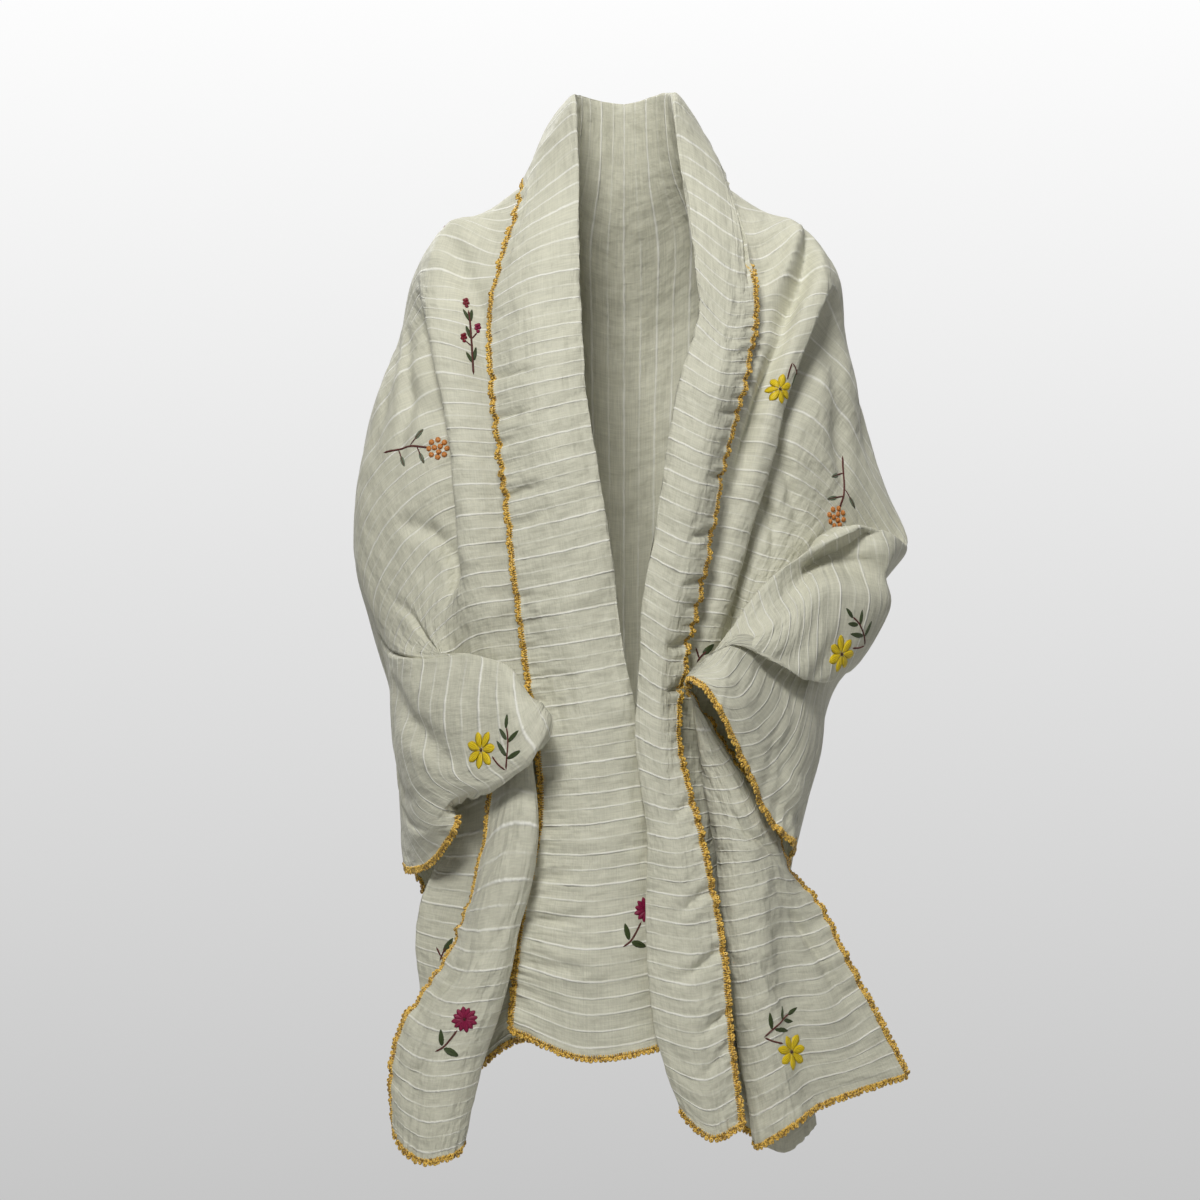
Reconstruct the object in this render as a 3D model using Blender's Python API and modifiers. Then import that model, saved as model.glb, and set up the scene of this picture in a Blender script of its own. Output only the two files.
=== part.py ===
"""A silk shawl worn over the shoulders and both bent forearms, hollow, with a crochet edging.

The cloth is one rectangle. One long edge is turned out round the neck as a shawl collar, and the
other falls over the back and the forearms. Every place on the cloth has two numbers in
millimetres: `along`, its distance from the centre back towards an end, and `across`, its distance
from the collar's edge. Folds run along the cloth. Each side of the shawl is a table of its folds,
and the surface is a smooth curve through them, so the pieces of cloth meet where they are cut.

Metres, +Z up, the front faces -Y, and the origin is the middle of the wearer's neck base.
The wearer's right is -X.
"""

import math
from collections import namedtuple

import bpy
import numpy as np

MM = 0.001

# The cut, in millimetres.
CLOTH_WIDTH = 1000
RIGHT_END = 945
LEFT_END = 1015
WALL = 1.0
SEAM_GAP = 0.9
EDGING_REACH = 7
EDGING_THICKNESS = 1.2
ALONG_STEP = 35
BESIDE_CUT = 5
COLLAR_CUT = 187.5
PLEAT_CUT = 410
HANG_CUT = 720
HEM_CUT = 900
HALVED_TO = 300
ALONG_CUTS = {
    "right": (105, 175, 490, 560, 665),
    "left": (105, 175, 455, 560, 630),
    "both": (-175, -105, 105, 175),
}

# Where the outer edge turns too tightly round the wrist to carry an edging.
WRIST_TURN = {"right": (585, 660), "left": (595, 635)}

# How the back hangs from the nape, in millimetres.
NAPE_DROP = 42
BACK_DEPTH = 121
FLUTE_DEPTH = 13
FLUTE_PITCH = 120
BACK_STATIONS = (0, 60, 120)
SHOULDER_RISE = {0: 0, 60: 28, 120: 92}
SHOULDER_TURN = {0: 0, 60: 8, 120: 46}
BACK_TAPER = 0.42
BACK_SPREAD = 1.17

Fold = namedtuple("Fold", "across guide")
Stretch = namedtuple("Stretch", "name side start stop near far")

# The collar behind the neck, the same on both sides: along, outward, y, z.
COLLAR_BACK = {
    "collar_edge": ((0, 0, 108, 16), (60, 57, 97, 20), (115, 92, 53, 29)),
    "collar_crown": ((0, 0, 114, 64), (60, 63, 87, 68), (115, 78, 40, 56)),
    "collar_fold": ((0, 0, 90, 102), (60, 43, 63, 107), (108, 46, 22, 92)),
    "under_collar": ((0, 0, 88, 30), (60, 49, 70, 37), (115, 67, 31, 27)),
    "panel": ((0, 0, 106, -42), (60, 68, 90, -10), (115, 102, 50, 14)),
}

# Folds of the wearer's right side: along, x, y, z.
RIGHT_FOLDS = {
    "collar_edge": Fold(0, (
        (150, -98, 5, -2), (230, -119, -44, -86), (340, -119, -92, -178), (460, -105, -118, -288),
        (590, -90, -132, -414), (730, -74, -146, -550), (850, -92, -152, -660),
        (950, -102, -154, -752),
    )),
    "collar_crown": Fold(75, (
        (150, -82, 4, 16), (230, -84, -66, -68), (340, -78, -116, -168), (460, -62, -138, -278),
        (590, -46, -148, -408), (730, -28, -158, -546), (850, -33, -166, -668), (950, -34, -170, -776),
    )),
    "collar_fold": Fold(150, (
        (150, -44, 0, 44), (230, -42, -56, -58), (340, -37, -106, -160), (460, -22, -128, -268),
        (590, -3, -138, -400), (730, 17, -146, -540), (850, 28, -152, -660), (950, 37, -154, -764),
    )),
    "under_collar": Fold(225, (
        (150, -67, 4, 4), (230, -82, -46, -76), (340, -76, -98, -176), (460, -62, -120, -286),
        (590, -46, -130, -412), (730, -28, -138, -552), (850, -32, -142, -666), (950, -34, -144, -766),
    )),
    "panel": Fold(300, (
        (150, -108, 17, -18), (230, -124, -28, -88), (340, -122, -79, -182),
        (460, -108, -103, -294), (590, -94, -114, -422), (730, -82, -124, -560),
        (850, -92, -130, -672), (950, -98, -130, -764),
    )),
    "pleat_crest": Fold(370, (
        (180, -168, 30, -22), (230, -181, -16, -84), (260, -179, -29, -107), (290, -176, -42, -130),
        (340, -167, -62, -184), (400, -158, -74, -238), (460, -150, -84, -300),
        (530, -141, -92, -370), (590, -134, -92, -430), (640, -124, -94, -478),
        (690, -114, -100, -530), (760, -106, -112, -600), (850, -122, -118, -690),
        (950, -130, -120, -788),
    )),
    "pleat_valley": Fold(450, (
        (180, -190, 58, -54), (230, -196, 14, -82), (245, -191, 7, -91), (260, -185, -3, -103),
        (275, -176, -10, -116), (290, -164, -14, -132), (340, -120, -48, -190),
        (400, -114, -62, -244), (460, -120, -68, -306), (530, -158, -78, -380),
        (590, -152, -74, -446), (640, -146, -76, -500), (690, -142, -82, -556),
        (760, -150, -84, -636), (850, -154, -92, -720), (950, -165, -104, -812),
    )),
    "arm_front": Fold(530, (
        (180, -200, 86, -124), (230, -212, 42, -126), (290, -204, -6, -152), (340, -184, -40, -206),
        (400, -173, -54, -262), (460, -165, -60, -322), (530, -174, -72, -394),
        (590, -158, -88, -438), (640, -147, -92, -492), (690, -160, -78, -572),
        (760, -187, -74, -650), (850, -182, -88, -738), (950, -192, -108, -832),
    )),
    "arm_outer": Fold(615, (
        (180, -194, 106, -240), (230, -230, 68, -204), (290, -238, 20, -214), (340, -242, -8, -260),
        (400, -224, -30, -306), (460, -198, -48, -358), (530, -183, -68, -408),
        (590, -148, -104, -430), (630, -112, -126, -462), (668, -124, -116, -512),
        (690, -126, -114, -562), (760, -140, -108, -658), (850, -162, -120, -745),
        (950, -176, -128, -842),
    )),
    "tuck": Fold(690, (
        (180, -186, 108, -316), (230, -236, 86, -270), (290, -248, 46, -276), (340, -252, 18, -318),
        (400, -242, -10, -352), (460, -218, -34, -392), (530, -188, -70, -418),
        (590, -138, -118, -424), (630, -94, -148, -455), (645, -93, -145, -466),
        (668, -102, -137, -508), (690, -102, -141, -558), (760, -118, -146, -662),
        (850, -139, -140, -752), (950, -154, -142, -846),
    )),
    "ridge": Fold(750, (
        (180, -180, 106, -380), (230, -232, 96, -330), (290, -246, 66, -336), (340, -240, 42, -376),
        (400, -229, 8, -402), (460, -219, -24, -420), (530, -186, -84, -424),
        (590, -127, -138, -421), (615, -101, -158, -432), (630, -88, -160, -453),
        (645, -85, -154, -463), (668, -85, -151, -508), (690, -78, -162, -556),
        (760, -93, -168, -668), (850, -121, -162, -757), (950, -144, -158, -850),
    )),
    "pocket": Fold(785, (
        (180, -177, 102, -418), (230, -228, 100, -366), (290, -236, 72, -374),
        (340, -231, 48, -410), (400, -220, 10, -436), (460, -215, -24, -450),
        (530, -188, -92, -446), (590, -128, -150, -440), (615, -100, -168, -442),
        (630, -85, -168, -455), (645, -80, -159, -462), (668, -85, -156, -507),
        (690, -80, -168, -554), (760, -97, -175, -669), (850, -125, -170, -760),
        (950, -150, -167, -858),
    )),
    "forearm": Fold(820, (
        (180, -174, 98, -456), (230, -224, 104, -402), (290, -228, 78, -410), (340, -221, 52, -446),
        (400, -213, 12, -472), (460, -212, -24, -482), (530, -190, -98, -472),
        (590, -129, -158, -463), (615, -98, -178, -458), (630, -82, -176, -459),
        (645, -77, -163, -462), (668, -89, -158, -505), (690, -88, -170, -552),
        (760, -105, -181, -670), (850, -136, -177, -762), (950, -160, -174, -862),
    )),
    "lip": Fold(880, (
        (180, -168, 94, -520), (230, -216, 108, -466), (290, -217, 82, -476), (340, -214, 52, -510),
        (400, -210, 6, -532), (460, -208, -30, -532), (530, -186, -106, -508),
        (590, -127, -166, -498), (615, -92, -190, -484), (630, -77, -184, -464),
        (645, -74, -167, -462), (668, -95, -156, -503), (690, -100, -166, -552),
        (760, -124, -179, -672), (850, -162, -179, -765), (950, -177, -175, -865),
    )),
    "lip_under": Fold(920, (
        (180, -152, 96, -564), (230, -210, 108, -512), (290, -212, 82, -524), (340, -210, 46, -556),
        (400, -207, -4, -572), (460, -200, -48, -564), (530, -176, -118, -532),
        (590, -120, -174, -516), (615, -86, -195, -495), (630, -73, -190, -471),
        (645, -72, -171, -463), (668, -100, -153, -502), (690, -108, -160, -556),
        (760, -136, -172, -673), (850, -176, -172, -764), (950, -190, -168, -860),
    )),
    "pouch": Fold(960, (
        (180, -144, 98, -612), (230, -204, 106, -560), (290, -206, 76, -572), (340, -207, 34, -590),
        (400, -202, -24, -600), (460, -182, -98, -580), (530, -152, -142, -546),
        (590, -107, -180, -526), (615, -80, -196, -504), (630, -69, -195, -479),
        (645, -70, -175, -465), (668, -105, -149, -502), (690, -115, -152, -562),
        (760, -145, -160, -672), (850, -188, -163, -760), (950, -200, -160, -852),
    )),
    "outer_edge": Fold(1000, (
        (180, -134, 104, -702), (230, -174, 94, -668), (290, -194, 62, -630), (340, -202, 16, -612),
        (400, -195, -44, -615), (440, -174, -92, -604), (475, -153, -126, -574),
        (530, -150, -124, -552), (590, -114, -164, -534), (615, -86, -184, -510),
        (630, -67, -188, -489), (645, -67, -178, -470), (668, -110, -145, -503),
        (690, -122, -142, -570), (760, -151, -147, -670), (850, -200, -151, -752),
        (950, -207, -150, -840),
    )),
}

# Folds of the wearer's left side: along, x, y, z.
LEFT_FOLDS = {
    "collar_edge": Fold(0, (
        (150, 100, 4, -4), (200, 113, -38, -60), (250, 118, -66, -106), (325, 107, -96, -170),
        (412, 87, -114, -253), (500, 70, -127, -338), (590, 52, -136, -424), (655, 46, -152, -486),
        (756, 65, -168, -580), (853, 83, -176, -670), (955, 92, -182, -768), (1010, 99, -184, -822),
    )),
    "collar_crown": Fold(75, (
        (150, 92, 2, 10), (230, 94, -72, -88), (325, 84, -118, -170), (412, 67, -136, -250),
        (500, 50, -147, -336), (590, 34, -155, -422), (655, 30, -162, -486), (756, 44, -174, -584),
        (853, 55, -184, -674), (955, 64, -190, -778), (1010, 74, -190, -832),
    )),
    "collar_fold": Fold(150, (
        (150, 50, -4, 38), (230, 62, -66, -58), (280, 65, -90, -108), (330, 53, -108, -156),
        (412, 37, -126, -236), (500, 22, -139, -322), (590, 13, -148, -408), (655, 8, -156, -474),
        (756, 19, -164, -580), (853, 17, -172, -668), (955, 30, -178, -766), (1010, 44, -178, -810),
    )),
    "under_collar": Fold(225, (
        (150, 76, 2, -2), (230, 90, -54, -88), (325, 80, -101, -174), (412, 65, -121, -256),
        (500, 49, -132, -340), (590, 33, -142, -426), (655, 28, -148, -490), (756, 44, -157, -586),
        (853, 54, -166, -674), (955, 62, -170, -776), (1010, 72, -170, -828),
    )),
    "panel": Fold(300, (
        (150, 112, 16, -20), (230, 124, -34, -96), (325, 112, -81, -176), (412, 93, -101, -260),
        (500, 75, -114, -346), (590, 60, -124, -432), (655, 58, -126, -496), (756, 70, -130, -590),
        (853, 84, -128, -678), (955, 92, -128, -778), (1010, 98, -128, -828),
    )),
    "pleat_crest": Fold(370, (
        (180, 165, 30, -22), (230, 184, -10, -80), (265, 176, -34, -108), (325, 149, -60, -182),
        (412, 125, -76, -267), (494, 101, -92, -348), (527, 93, -98, -375), (560, 84, -102, -404),
        (610, 76, -106, -448), (650, 76, -109, -492), (690, 82, -112, -526), (790, 88, -111, -614),
        (880, 98, -111, -702), (950, 104, -111, -778), (1010, 112, -111, -840),
    )),
    "pleat_valley": Fold(450, (
        (180, 188, 58, -54), (230, 197, 14, -84), (265, 160, -14, -112), (325, 112, -42, -188),
        (412, 98, -58, -272), (494, 96, -76, -351), (527, 94, -84, -377), (560, 95, -88, -406),
        (592, 92, -94, -430), (610, 90, -99, -446), (650, 93, -99, -490), (690, 102, -97, -524),
        (790, 112, -94, -616), (880, 124, -94, -706), (950, 130, -94, -780), (1010, 138, -94, -850),
    )),
    "arm_front": Fold(530, (
        (180, 198, 86, -124), (230, 209, 46, -126), (265, 200, 6, -146), (325, 166, -42, -206),
        (412, 139, -59, -290), (494, 113, -80, -362), (560, 106, -90, -400), (592, 95, -102, -424),
        (610, 97, -97, -438), (650, 107, -89, -490), (690, 118, -84, -526), (790, 134, -80, -618),
        (880, 146, -78, -708), (950, 154, -76, -782), (1010, 164, -74, -840),
    )),
    "arm_outer": Fold(620, (
        (180, 194, 106, -240), (230, 222, 72, -200), (265, 222, 38, -208), (325, 208, -16, -252),
        (412, 172, -46, -304), (494, 130, -78, -364), (560, 109, -100, -396), (592, 97, -112, -416),
        (610, 99, -108, -432), (650, 112, -103, -492), (690, 122, -100, -530),
        (790, 138, -98, -620), (880, 150, -96, -710), (950, 158, -94, -784), (1010, 168, -92, -838),
    )),
    "tuck": Fold(690, (
        (180, 186, 108, -316), (230, 236, 88, -264), (265, 248, 50, -280), (300, 263, 14, -316),
        (350, 240, -10, -328), (412, 184, -38, -334), (494, 138, -78, -376), (560, 108, -108, -402),
        (592, 92, -124, -412), (610, 89, -126, -426), (628, 89, -124, -456), (650, 93, -121, -494),
        (690, 100, -120, -530), (790, 112, -124, -618), (880, 122, -124, -706),
        (950, 130, -122, -782), (1010, 140, -118, -856),
    )),
    "ridge": Fold(750, (
        (180, 180, 106, -380), (230, 240, 96, -326), (265, 254, 58, -330), (300, 262, 4, -326),
        (350, 233, -46, -306), (390, 200, -66, -308), (440, 158, -84, -330), (494, 127, -104, -354),
        (560, 94, -128, -392), (592, 80, -140, -413), (610, 72, -144, -427), (628, 67, -143, -456),
        (650, 66, -141, -494), (690, 70, -142, -528), (790, 80, -144, -614), (880, 90, -145, -702),
        (950, 100, -142, -778), (1010, 112, -136, -843),
    )),
    "pocket": Fold(785, (
        (180, 177, 102, -418), (230, 232, 100, -362), (265, 236, 62, -368), (300, 238, -6, -352),
        (350, 240, -50, -336), (390, 196, -44, -332), (440, 160, -80, -348), (494, 132, -112, -372),
        (560, 95, -140, -404), (592, 77, -150, -419), (610, 68, -152, -430), (628, 63, -150, -457),
        (650, 64, -148, -495), (690, 72, -151, -530), (790, 82, -155, -614), (880, 93, -156, -702),
        (950, 104, -152, -778), (1010, 115, -145, -846),
    )),
    "forearm": Fold(820, (
        (180, 174, 98, -456), (230, 224, 104, -396), (265, 229, 66, -400), (300, 236, -4, -386),
        (350, 238, -48, -372), (412, 184, -92, -362), (494, 140, -124, -388), (560, 97, -154, -412),
        (592, 74, -162, -423), (610, 62, -160, -433), (628, 59, -156, -458), (650, 66, -154, -495),
        (690, 79, -158, -531), (790, 93, -164, -612), (880, 105, -165, -700),
        (950, 117, -160, -774), (1010, 128, -151, -838),
    )),
    "lip": Fold(880, (
        (180, 158, 95, -500), (230, 197, 104, -442), (265, 202, 62, -440), (300, 215, 4, -424),
        (350, 207, -44, -433), (395, 184, -84, -443), (440, 162, -118, -442),
        (494, 128, -152, -424), (545, 94, -168, -409), (592, 68, -174, -424), (610, 56, -168, -436),
        (628, 58, -162, -460), (650, 72, -158, -495), (690, 88, -161, -530), (730, 101, -163, -566),
        (790, 115, -164, -608), (880, 124, -162, -694), (950, 137, -157, -764),
        (1010, 150, -149, -824),
    )),
    "lip_under": Fold(920, (
        (180, 150, 96, -556), (230, 184, 98, -482), (265, 190, 58, -470), (300, 192, 8, -452),
        (350, 190, -32, -440), (395, 174, -66, -428), (440, 156, -100, -426),
        (494, 125, -136, -409), (545, 94, -156, -401), (592, 64, -177, -429), (610, 54, -173, -438),
        (628, 60, -165, -461), (650, 76, -158, -494), (690, 96, -159, -528), (730, 112, -158, -562),
        (790, 130, -150, -604), (880, 137, -146, -690), (950, 150, -141, -758),
        (1010, 168, -133, -814),
    )),
    "pouch": Fold(960, (
        (180, 142, 98, -612), (230, 170, 96, -562), (265, 175, 56, -534), (300, 178, 2, -516),
        (350, 176, -64, -512), (405, 156, -132, -520), (438, 140, -152, -505),
        (478, 120, -170, -480), (521, 98, -188, -452), (553, 84, -194, -434), (592, 60, -182, -433),
        (610, 52, -177, -441), (628, 62, -164, -462), (650, 80, -156, -492), (692, 101, -156, -524),
        (730, 117, -152, -554), (776, 137, -136, -594), (880, 166, -130, -688),
        (950, 188, -124, -756), (1010, 208, -118, -802),
    )),
    "outer_edge": Fold(1000, (
        (180, 133, 104, -702), (205, 144, 101, -690), (230, 152, 96, -668), (265, 154, 52, -622),
        (300, 155, -8, -600), (350, 151, -90, -584), (405, 144, -147, -580), (438, 126, -160, -561),
        (478, 110, -177, -525), (521, 92, -192, -487), (553, 78, -202, -458), (580, 62, -196, -440),
        (605, 53, -180, -442), (628, 64, -158, -463), (650, 81, -150, -487), (692, 100, -150, -518),
        (730, 118, -147, -543), (776, 140, -126, -591), (790, 145, -122, -606),
        (823, 166, -114, -632), (890, 194, -114, -687), (966, 229, -105, -752),
        (1010, 250, -100, -791),
    )),
}

# What shows of the cloth, stretch by stretch: side, along from and to, across from and to.
STRETCHES = (
    Stretch("collar_nape", "both", -105, 105, 0, COLLAR_CUT),
    Stretch("back_yoke", "both", -175, 175, COLLAR_CUT, PLEAT_CUT),
    Stretch("back_panel", "both", -175, 175, PLEAT_CUT, CLOTH_WIDTH),
    Stretch("collar_right", "right", 105, 595, 0, COLLAR_CUT),
    Stretch("band_right", "right", 595, RIGHT_END, 0, COLLAR_CUT),
    Stretch("front_right", "right", 175, 560, COLLAR_CUT, PLEAT_CUT),
    Stretch("inner_right", "right", 560, RIGHT_END, COLLAR_CUT, PLEAT_CUT),
    Stretch("arm_right", "right", 175, 490, PLEAT_CUT, HANG_CUT),
    Stretch("arm_hang_right", "right", 175, 490, HANG_CUT, CLOTH_WIDTH),
    Stretch("forearm_right", "right", 490, 665, PLEAT_CUT, CLOTH_WIDTH),
    Stretch("tail_right", "right", 665, RIGHT_END, PLEAT_CUT, CLOTH_WIDTH),
    Stretch("collar_left", "left", 105, 630, 0, COLLAR_CUT),
    Stretch("band_left", "left", 630, LEFT_END, 0, COLLAR_CUT),
    Stretch("front_left", "left", 175, 560, COLLAR_CUT, PLEAT_CUT),
    Stretch("inner_left", "left", 560, LEFT_END, COLLAR_CUT, PLEAT_CUT),
    Stretch("arm_left", "left", 175, 455, PLEAT_CUT, HANG_CUT),
    Stretch("arm_hang_left", "left", 175, 455, HANG_CUT, HEM_CUT),
    Stretch("arm_hem_left", "left", 175, 455, HEM_CUT, CLOTH_WIDTH),
    Stretch("forearm_left", "left", 455, 630, PLEAT_CUT, CLOTH_WIDTH),
    Stretch("tail_left", "left", 630, LEFT_END, PLEAT_CUT, CLOTH_WIDTH),
)

SILK = ("Silk", (0.72, 0.71, 0.64, 1.0), 0.62)
GOLD_THREAD = ("Gold thread", (0.55, 0.32, 0.05, 1.0), 0.45)


def back_point(along, across):
    """The back panel below the nape, hanging in shallow flutes that grow towards the hem."""
    hang = (across - 370) / (CLOTH_WIDTH - 370)
    outward = along * (BACK_SPREAD - BACK_TAPER * hang)
    flute = FLUTE_DEPTH * math.cos(2 * math.pi * along / FLUTE_PITCH) * max(hang, 0.0)
    turn = SHOULDER_TURN[along] * (1 - min(max(hang * 3, 0.0), 1.0))
    rise = SHOULDER_RISE[along] * (1 - 0.8 * max(hang, 0.0))
    return (outward, BACK_DEPTH + flute - turn, rise - NAPE_DROP - (across - 300))


def guides(folds, sign):
    """Each fold's guide from the centre back to the end, with the back added and mirrored."""
    whole = []
    for name, fold in folds.items():
        if name in COLLAR_BACK:
            back = COLLAR_BACK[name]
        else:
            back = [(along, *back_point(along, fold.across)) for along in BACK_STATIONS]
        back = [(along, sign * outward, y, z) for along, outward, y, z in back]
        first = back[1]
        mirrored = (-first[0], -first[1], first[2], first[3])
        whole.append((fold.across, np.array([mirrored, *back, *fold.guide], float)))
    return whole


def slopes(knots, points):
    """The tangent at each knot of a smooth curve through the points."""
    steps = np.diff(knots)[..., None]
    rates = np.diff(points, axis=-2) / steps
    inner = (rates[..., :-1, :] * steps[..., 1:, :] + rates[..., 1:, :] * steps[..., :-1, :]) / (
        steps[..., 1:, :] + steps[..., :-1, :]
    )
    return np.concatenate([rates[..., :1, :], inner, rates[..., -1:, :]], axis=-2)


def hermite(start, stop, leave, arrive, part):
    """A point part of the way along a cubic between two points with the given tangents."""
    part2 = part * part
    part3 = part2 * part
    return (
        (2 * part3 - 3 * part2 + 1) * start
        + (part3 - 2 * part2 + part) * leave
        + (3 * part2 - 2 * part3) * stop
        + (part3 - part2) * arrive
    )


def along_fold(guide, alongs):
    """Points of one fold at the given distances from the centre back."""
    knots = guide[:, 0]
    points = guide[:, 1:]
    tangents = slopes(knots, points)
    cell = np.clip(np.searchsorted(knots, alongs, side="right") - 1, 0, len(knots) - 2)
    width = (knots[cell + 1] - knots[cell])[:, None]
    part = (alongs - knots[cell])[:, None] / width
    return hermite(points[cell], points[cell + 1], tangents[cell] * width, tangents[cell + 1] * width, part)


def cloth(side, alongs, acrosses):
    """The cloth's surface in metres, one row of points for each distance along."""
    if side == "both":
        right = cloth("right", np.abs(alongs[alongs < 0]), acrosses)
        return np.concatenate([right, cloth("left", alongs[alongs >= 0], acrosses)])
    folds = SIDES[side]
    levels = np.array([across for across, _ in folds], float)
    rows = np.stack([along_fold(guide, alongs) for _, guide in folds], axis=1)
    chords = np.sqrt(np.linalg.norm(np.diff(rows, axis=1), axis=2)) + 1e-6
    knots = np.concatenate([np.zeros((len(rows), 1)), np.cumsum(chords, axis=1)], axis=1)
    tangents = slopes(knots, rows)
    columns = []
    for across in acrosses:
        cell = int(np.clip(np.searchsorted(levels, across, side="right") - 1, 0, len(levels) - 2))
        part = (across - levels[cell]) / (levels[cell + 1] - levels[cell])
        width = chords[:, cell][:, None]
        start, stop = rows[:, cell], rows[:, cell + 1]
        columns.append(hermite(start, stop, tangents[:, cell] * width, tangents[:, cell + 1] * width, part))
    return np.stack(columns, axis=1) * MM


def stations(side, start, stop):
    """Distances along from one cut to the other: even steps, and one close to each side of a cut."""
    steps = np.arange(-LEFT_END, LEFT_END + 1, ALONG_STEP)
    cuts = np.array(ALONG_CUTS[side])
    places = np.unique(np.concatenate([steps, cuts - BESIDE_CUT, cuts + BESIDE_CUT]))
    inside = places[(places > start + 1) & (places < stop - 1)]
    return np.array([start, *inside, stop], float)


def fold_levels(near, far):
    """Distances across at the folds and the cuts, and halfway between the collar's folds."""
    levels = [fold.across for fold in RIGHT_FOLDS.values()]
    halves = [(first + second) / 2 for first, second in zip(levels, levels[1:]) if second <= HALVED_TO]
    places = {*levels, *halves, COLLAR_CUT, PLEAT_CUT, HANG_CUT}
    inside = [level for level in places if near + 6 < level < far - 6]
    return np.array([near, *sorted(inside), far], float)


def inset(start, stop, low_end, high_end):
    """The same span with half a seam gap taken off each end that meets another piece."""
    gap = SEAM_GAP / 2
    return (start if low_end else start + gap), (stop if high_end else stop - gap)


def material(finish):
    name, colour, roughness = finish
    made = bpy.data.materials.get(name)
    if made is None:
        made = bpy.data.materials.new(name)
        made.use_nodes = True
        shader = made.node_tree.nodes["Principled BSDF"]
        shader.inputs["Base Color"].default_value = colour
        shader.inputs["Roughness"].default_value = roughness
        shader.inputs["Metallic"].default_value = 0.0
    return made


def sheet_object(name, grid, finish, wall, collection):
    """An open sheet of cloth over a grid of points, given its thickness by Solidify."""
    count, width = grid.shape[:2]
    faces = [
        (row * width + col, (row + 1) * width + col, (row + 1) * width + col + 1, row * width + col + 1)
        for row in range(count - 1)
        for col in range(width - 1)
    ]
    mesh = bpy.data.meshes.new(name)
    mesh.from_pydata(grid.reshape(-1, 3).tolist(), [], faces)
    mesh.shade_smooth()
    mesh.materials.append(material(finish))
    made = bpy.data.objects.new(name, mesh)
    collection.objects.link(made)
    solidify = made.modifiers.new("Wall", "SOLIDIFY")
    solidify.thickness = wall * MM
    solidify.offset = 0.0
    solidify.use_quality_normals = True
    return made


def cloth_piece(stretch, collection):
    """One stretch of the cloth, cut clear of its neighbours."""
    ends = (-RIGHT_END, RIGHT_END, LEFT_END)
    start, stop = inset(stretch.start, stretch.stop, stretch.start in ends, stretch.stop in ends)
    near, far = inset(stretch.near, stretch.far, stretch.near == 0, stretch.far == CLOTH_WIDTH)
    alongs = stations(stretch.side, start, stop)
    grid = cloth(stretch.side, alongs, fold_levels(near, far))
    if stretch.side == "right":
        grid = grid[::-1]
    sheet_object(stretch.name, grid, SILK, WALL, collection)


def strip(border, inner, name, collection):
    """A strip of edging that goes on past a border, in line with the cloth beside it."""
    outward = border - inner
    outward /= np.linalg.norm(outward, axis=1)[:, None]
    first = border + outward * SEAM_GAP * MM
    last = border + outward * (SEAM_GAP + EDGING_REACH) * MM
    sheet_object(name, np.stack([first, last], axis=1), GOLD_THREAD, EDGING_THICKNESS, collection)


def long_edging(name, side, start, stop, across, collection):
    """Edging on a long edge of the shawl."""
    inward = 6 if across == 0 else -6
    alongs = stations(side, start + SEAM_GAP / 2, stop - SEAM_GAP / 2)
    points = cloth(side, alongs, [across, across + inward])
    strip(points[:, 0], points[:, 1], name, collection)


def end_edging(name, side, end, collection):
    """Edging on a short end of the shawl."""
    levels = fold_levels(2, CLOTH_WIDTH - 2)
    border = cloth(side, np.array([end, end - 6.0]), levels)
    strip(border[0], border[1], name, collection)


SIDES = {"right": guides(RIGHT_FOLDS, -1), "left": guides(LEFT_FOLDS, 1)}


def main():
    for old in list(bpy.data.objects):
        bpy.data.objects.remove(old, do_unlink=True)
    collection = bpy.data.collections.new("Silk shawl")
    bpy.context.scene.collection.children.link(collection)
    for stretch in STRETCHES:
        cloth_piece(stretch, collection)
    for side, end in (("right", RIGHT_END), ("left", LEFT_END)):
        long_edging(f"collar_edging_{side}", side, 105, end, 0, collection)
        turn_from, turn_to = WRIST_TURN[side]
        long_edging(f"outer_edging_{side}", side, 175, turn_from, CLOTH_WIDTH, collection)
        long_edging(f"tail_edging_{side}", side, turn_to, end, CLOTH_WIDTH, collection)
        end_edging(f"end_edging_{side}", side, end, collection)
    long_edging("collar_edging_nape", "both", -105, 105, 0, collection)
    long_edging("outer_edging_back", "both", -175, 175, CLOTH_WIDTH, collection)


main()
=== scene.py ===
"""A silk shawl worn over the shoulders and both bent forearms, with its cloth, edging and sprigs.

Every place on the cloth has two numbers: `along`, its distance from the centre back towards an
end, and `across`, its distance from the collar's edge. The fold tables hold them in millimetres,
and everything that is built is in metres. The wearer's right is -X, where `along` is negative.
"""

import logging
import math
from dataclasses import dataclass, field
from enum import Enum

import bpy
import numpy as np
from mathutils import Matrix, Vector


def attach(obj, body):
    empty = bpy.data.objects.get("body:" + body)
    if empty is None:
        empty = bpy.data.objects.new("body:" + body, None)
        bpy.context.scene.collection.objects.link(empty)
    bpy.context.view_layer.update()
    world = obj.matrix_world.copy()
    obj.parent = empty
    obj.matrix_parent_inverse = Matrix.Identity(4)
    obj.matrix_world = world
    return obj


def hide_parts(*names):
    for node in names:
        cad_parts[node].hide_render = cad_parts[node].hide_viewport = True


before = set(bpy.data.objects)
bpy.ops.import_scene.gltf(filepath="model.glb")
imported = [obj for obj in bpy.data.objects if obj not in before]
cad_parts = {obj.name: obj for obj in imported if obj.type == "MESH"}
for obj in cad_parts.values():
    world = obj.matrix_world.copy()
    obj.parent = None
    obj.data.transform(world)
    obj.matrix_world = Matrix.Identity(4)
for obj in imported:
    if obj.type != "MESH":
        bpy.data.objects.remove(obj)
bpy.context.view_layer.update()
LOG = logging.getLogger("shawl")
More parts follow.
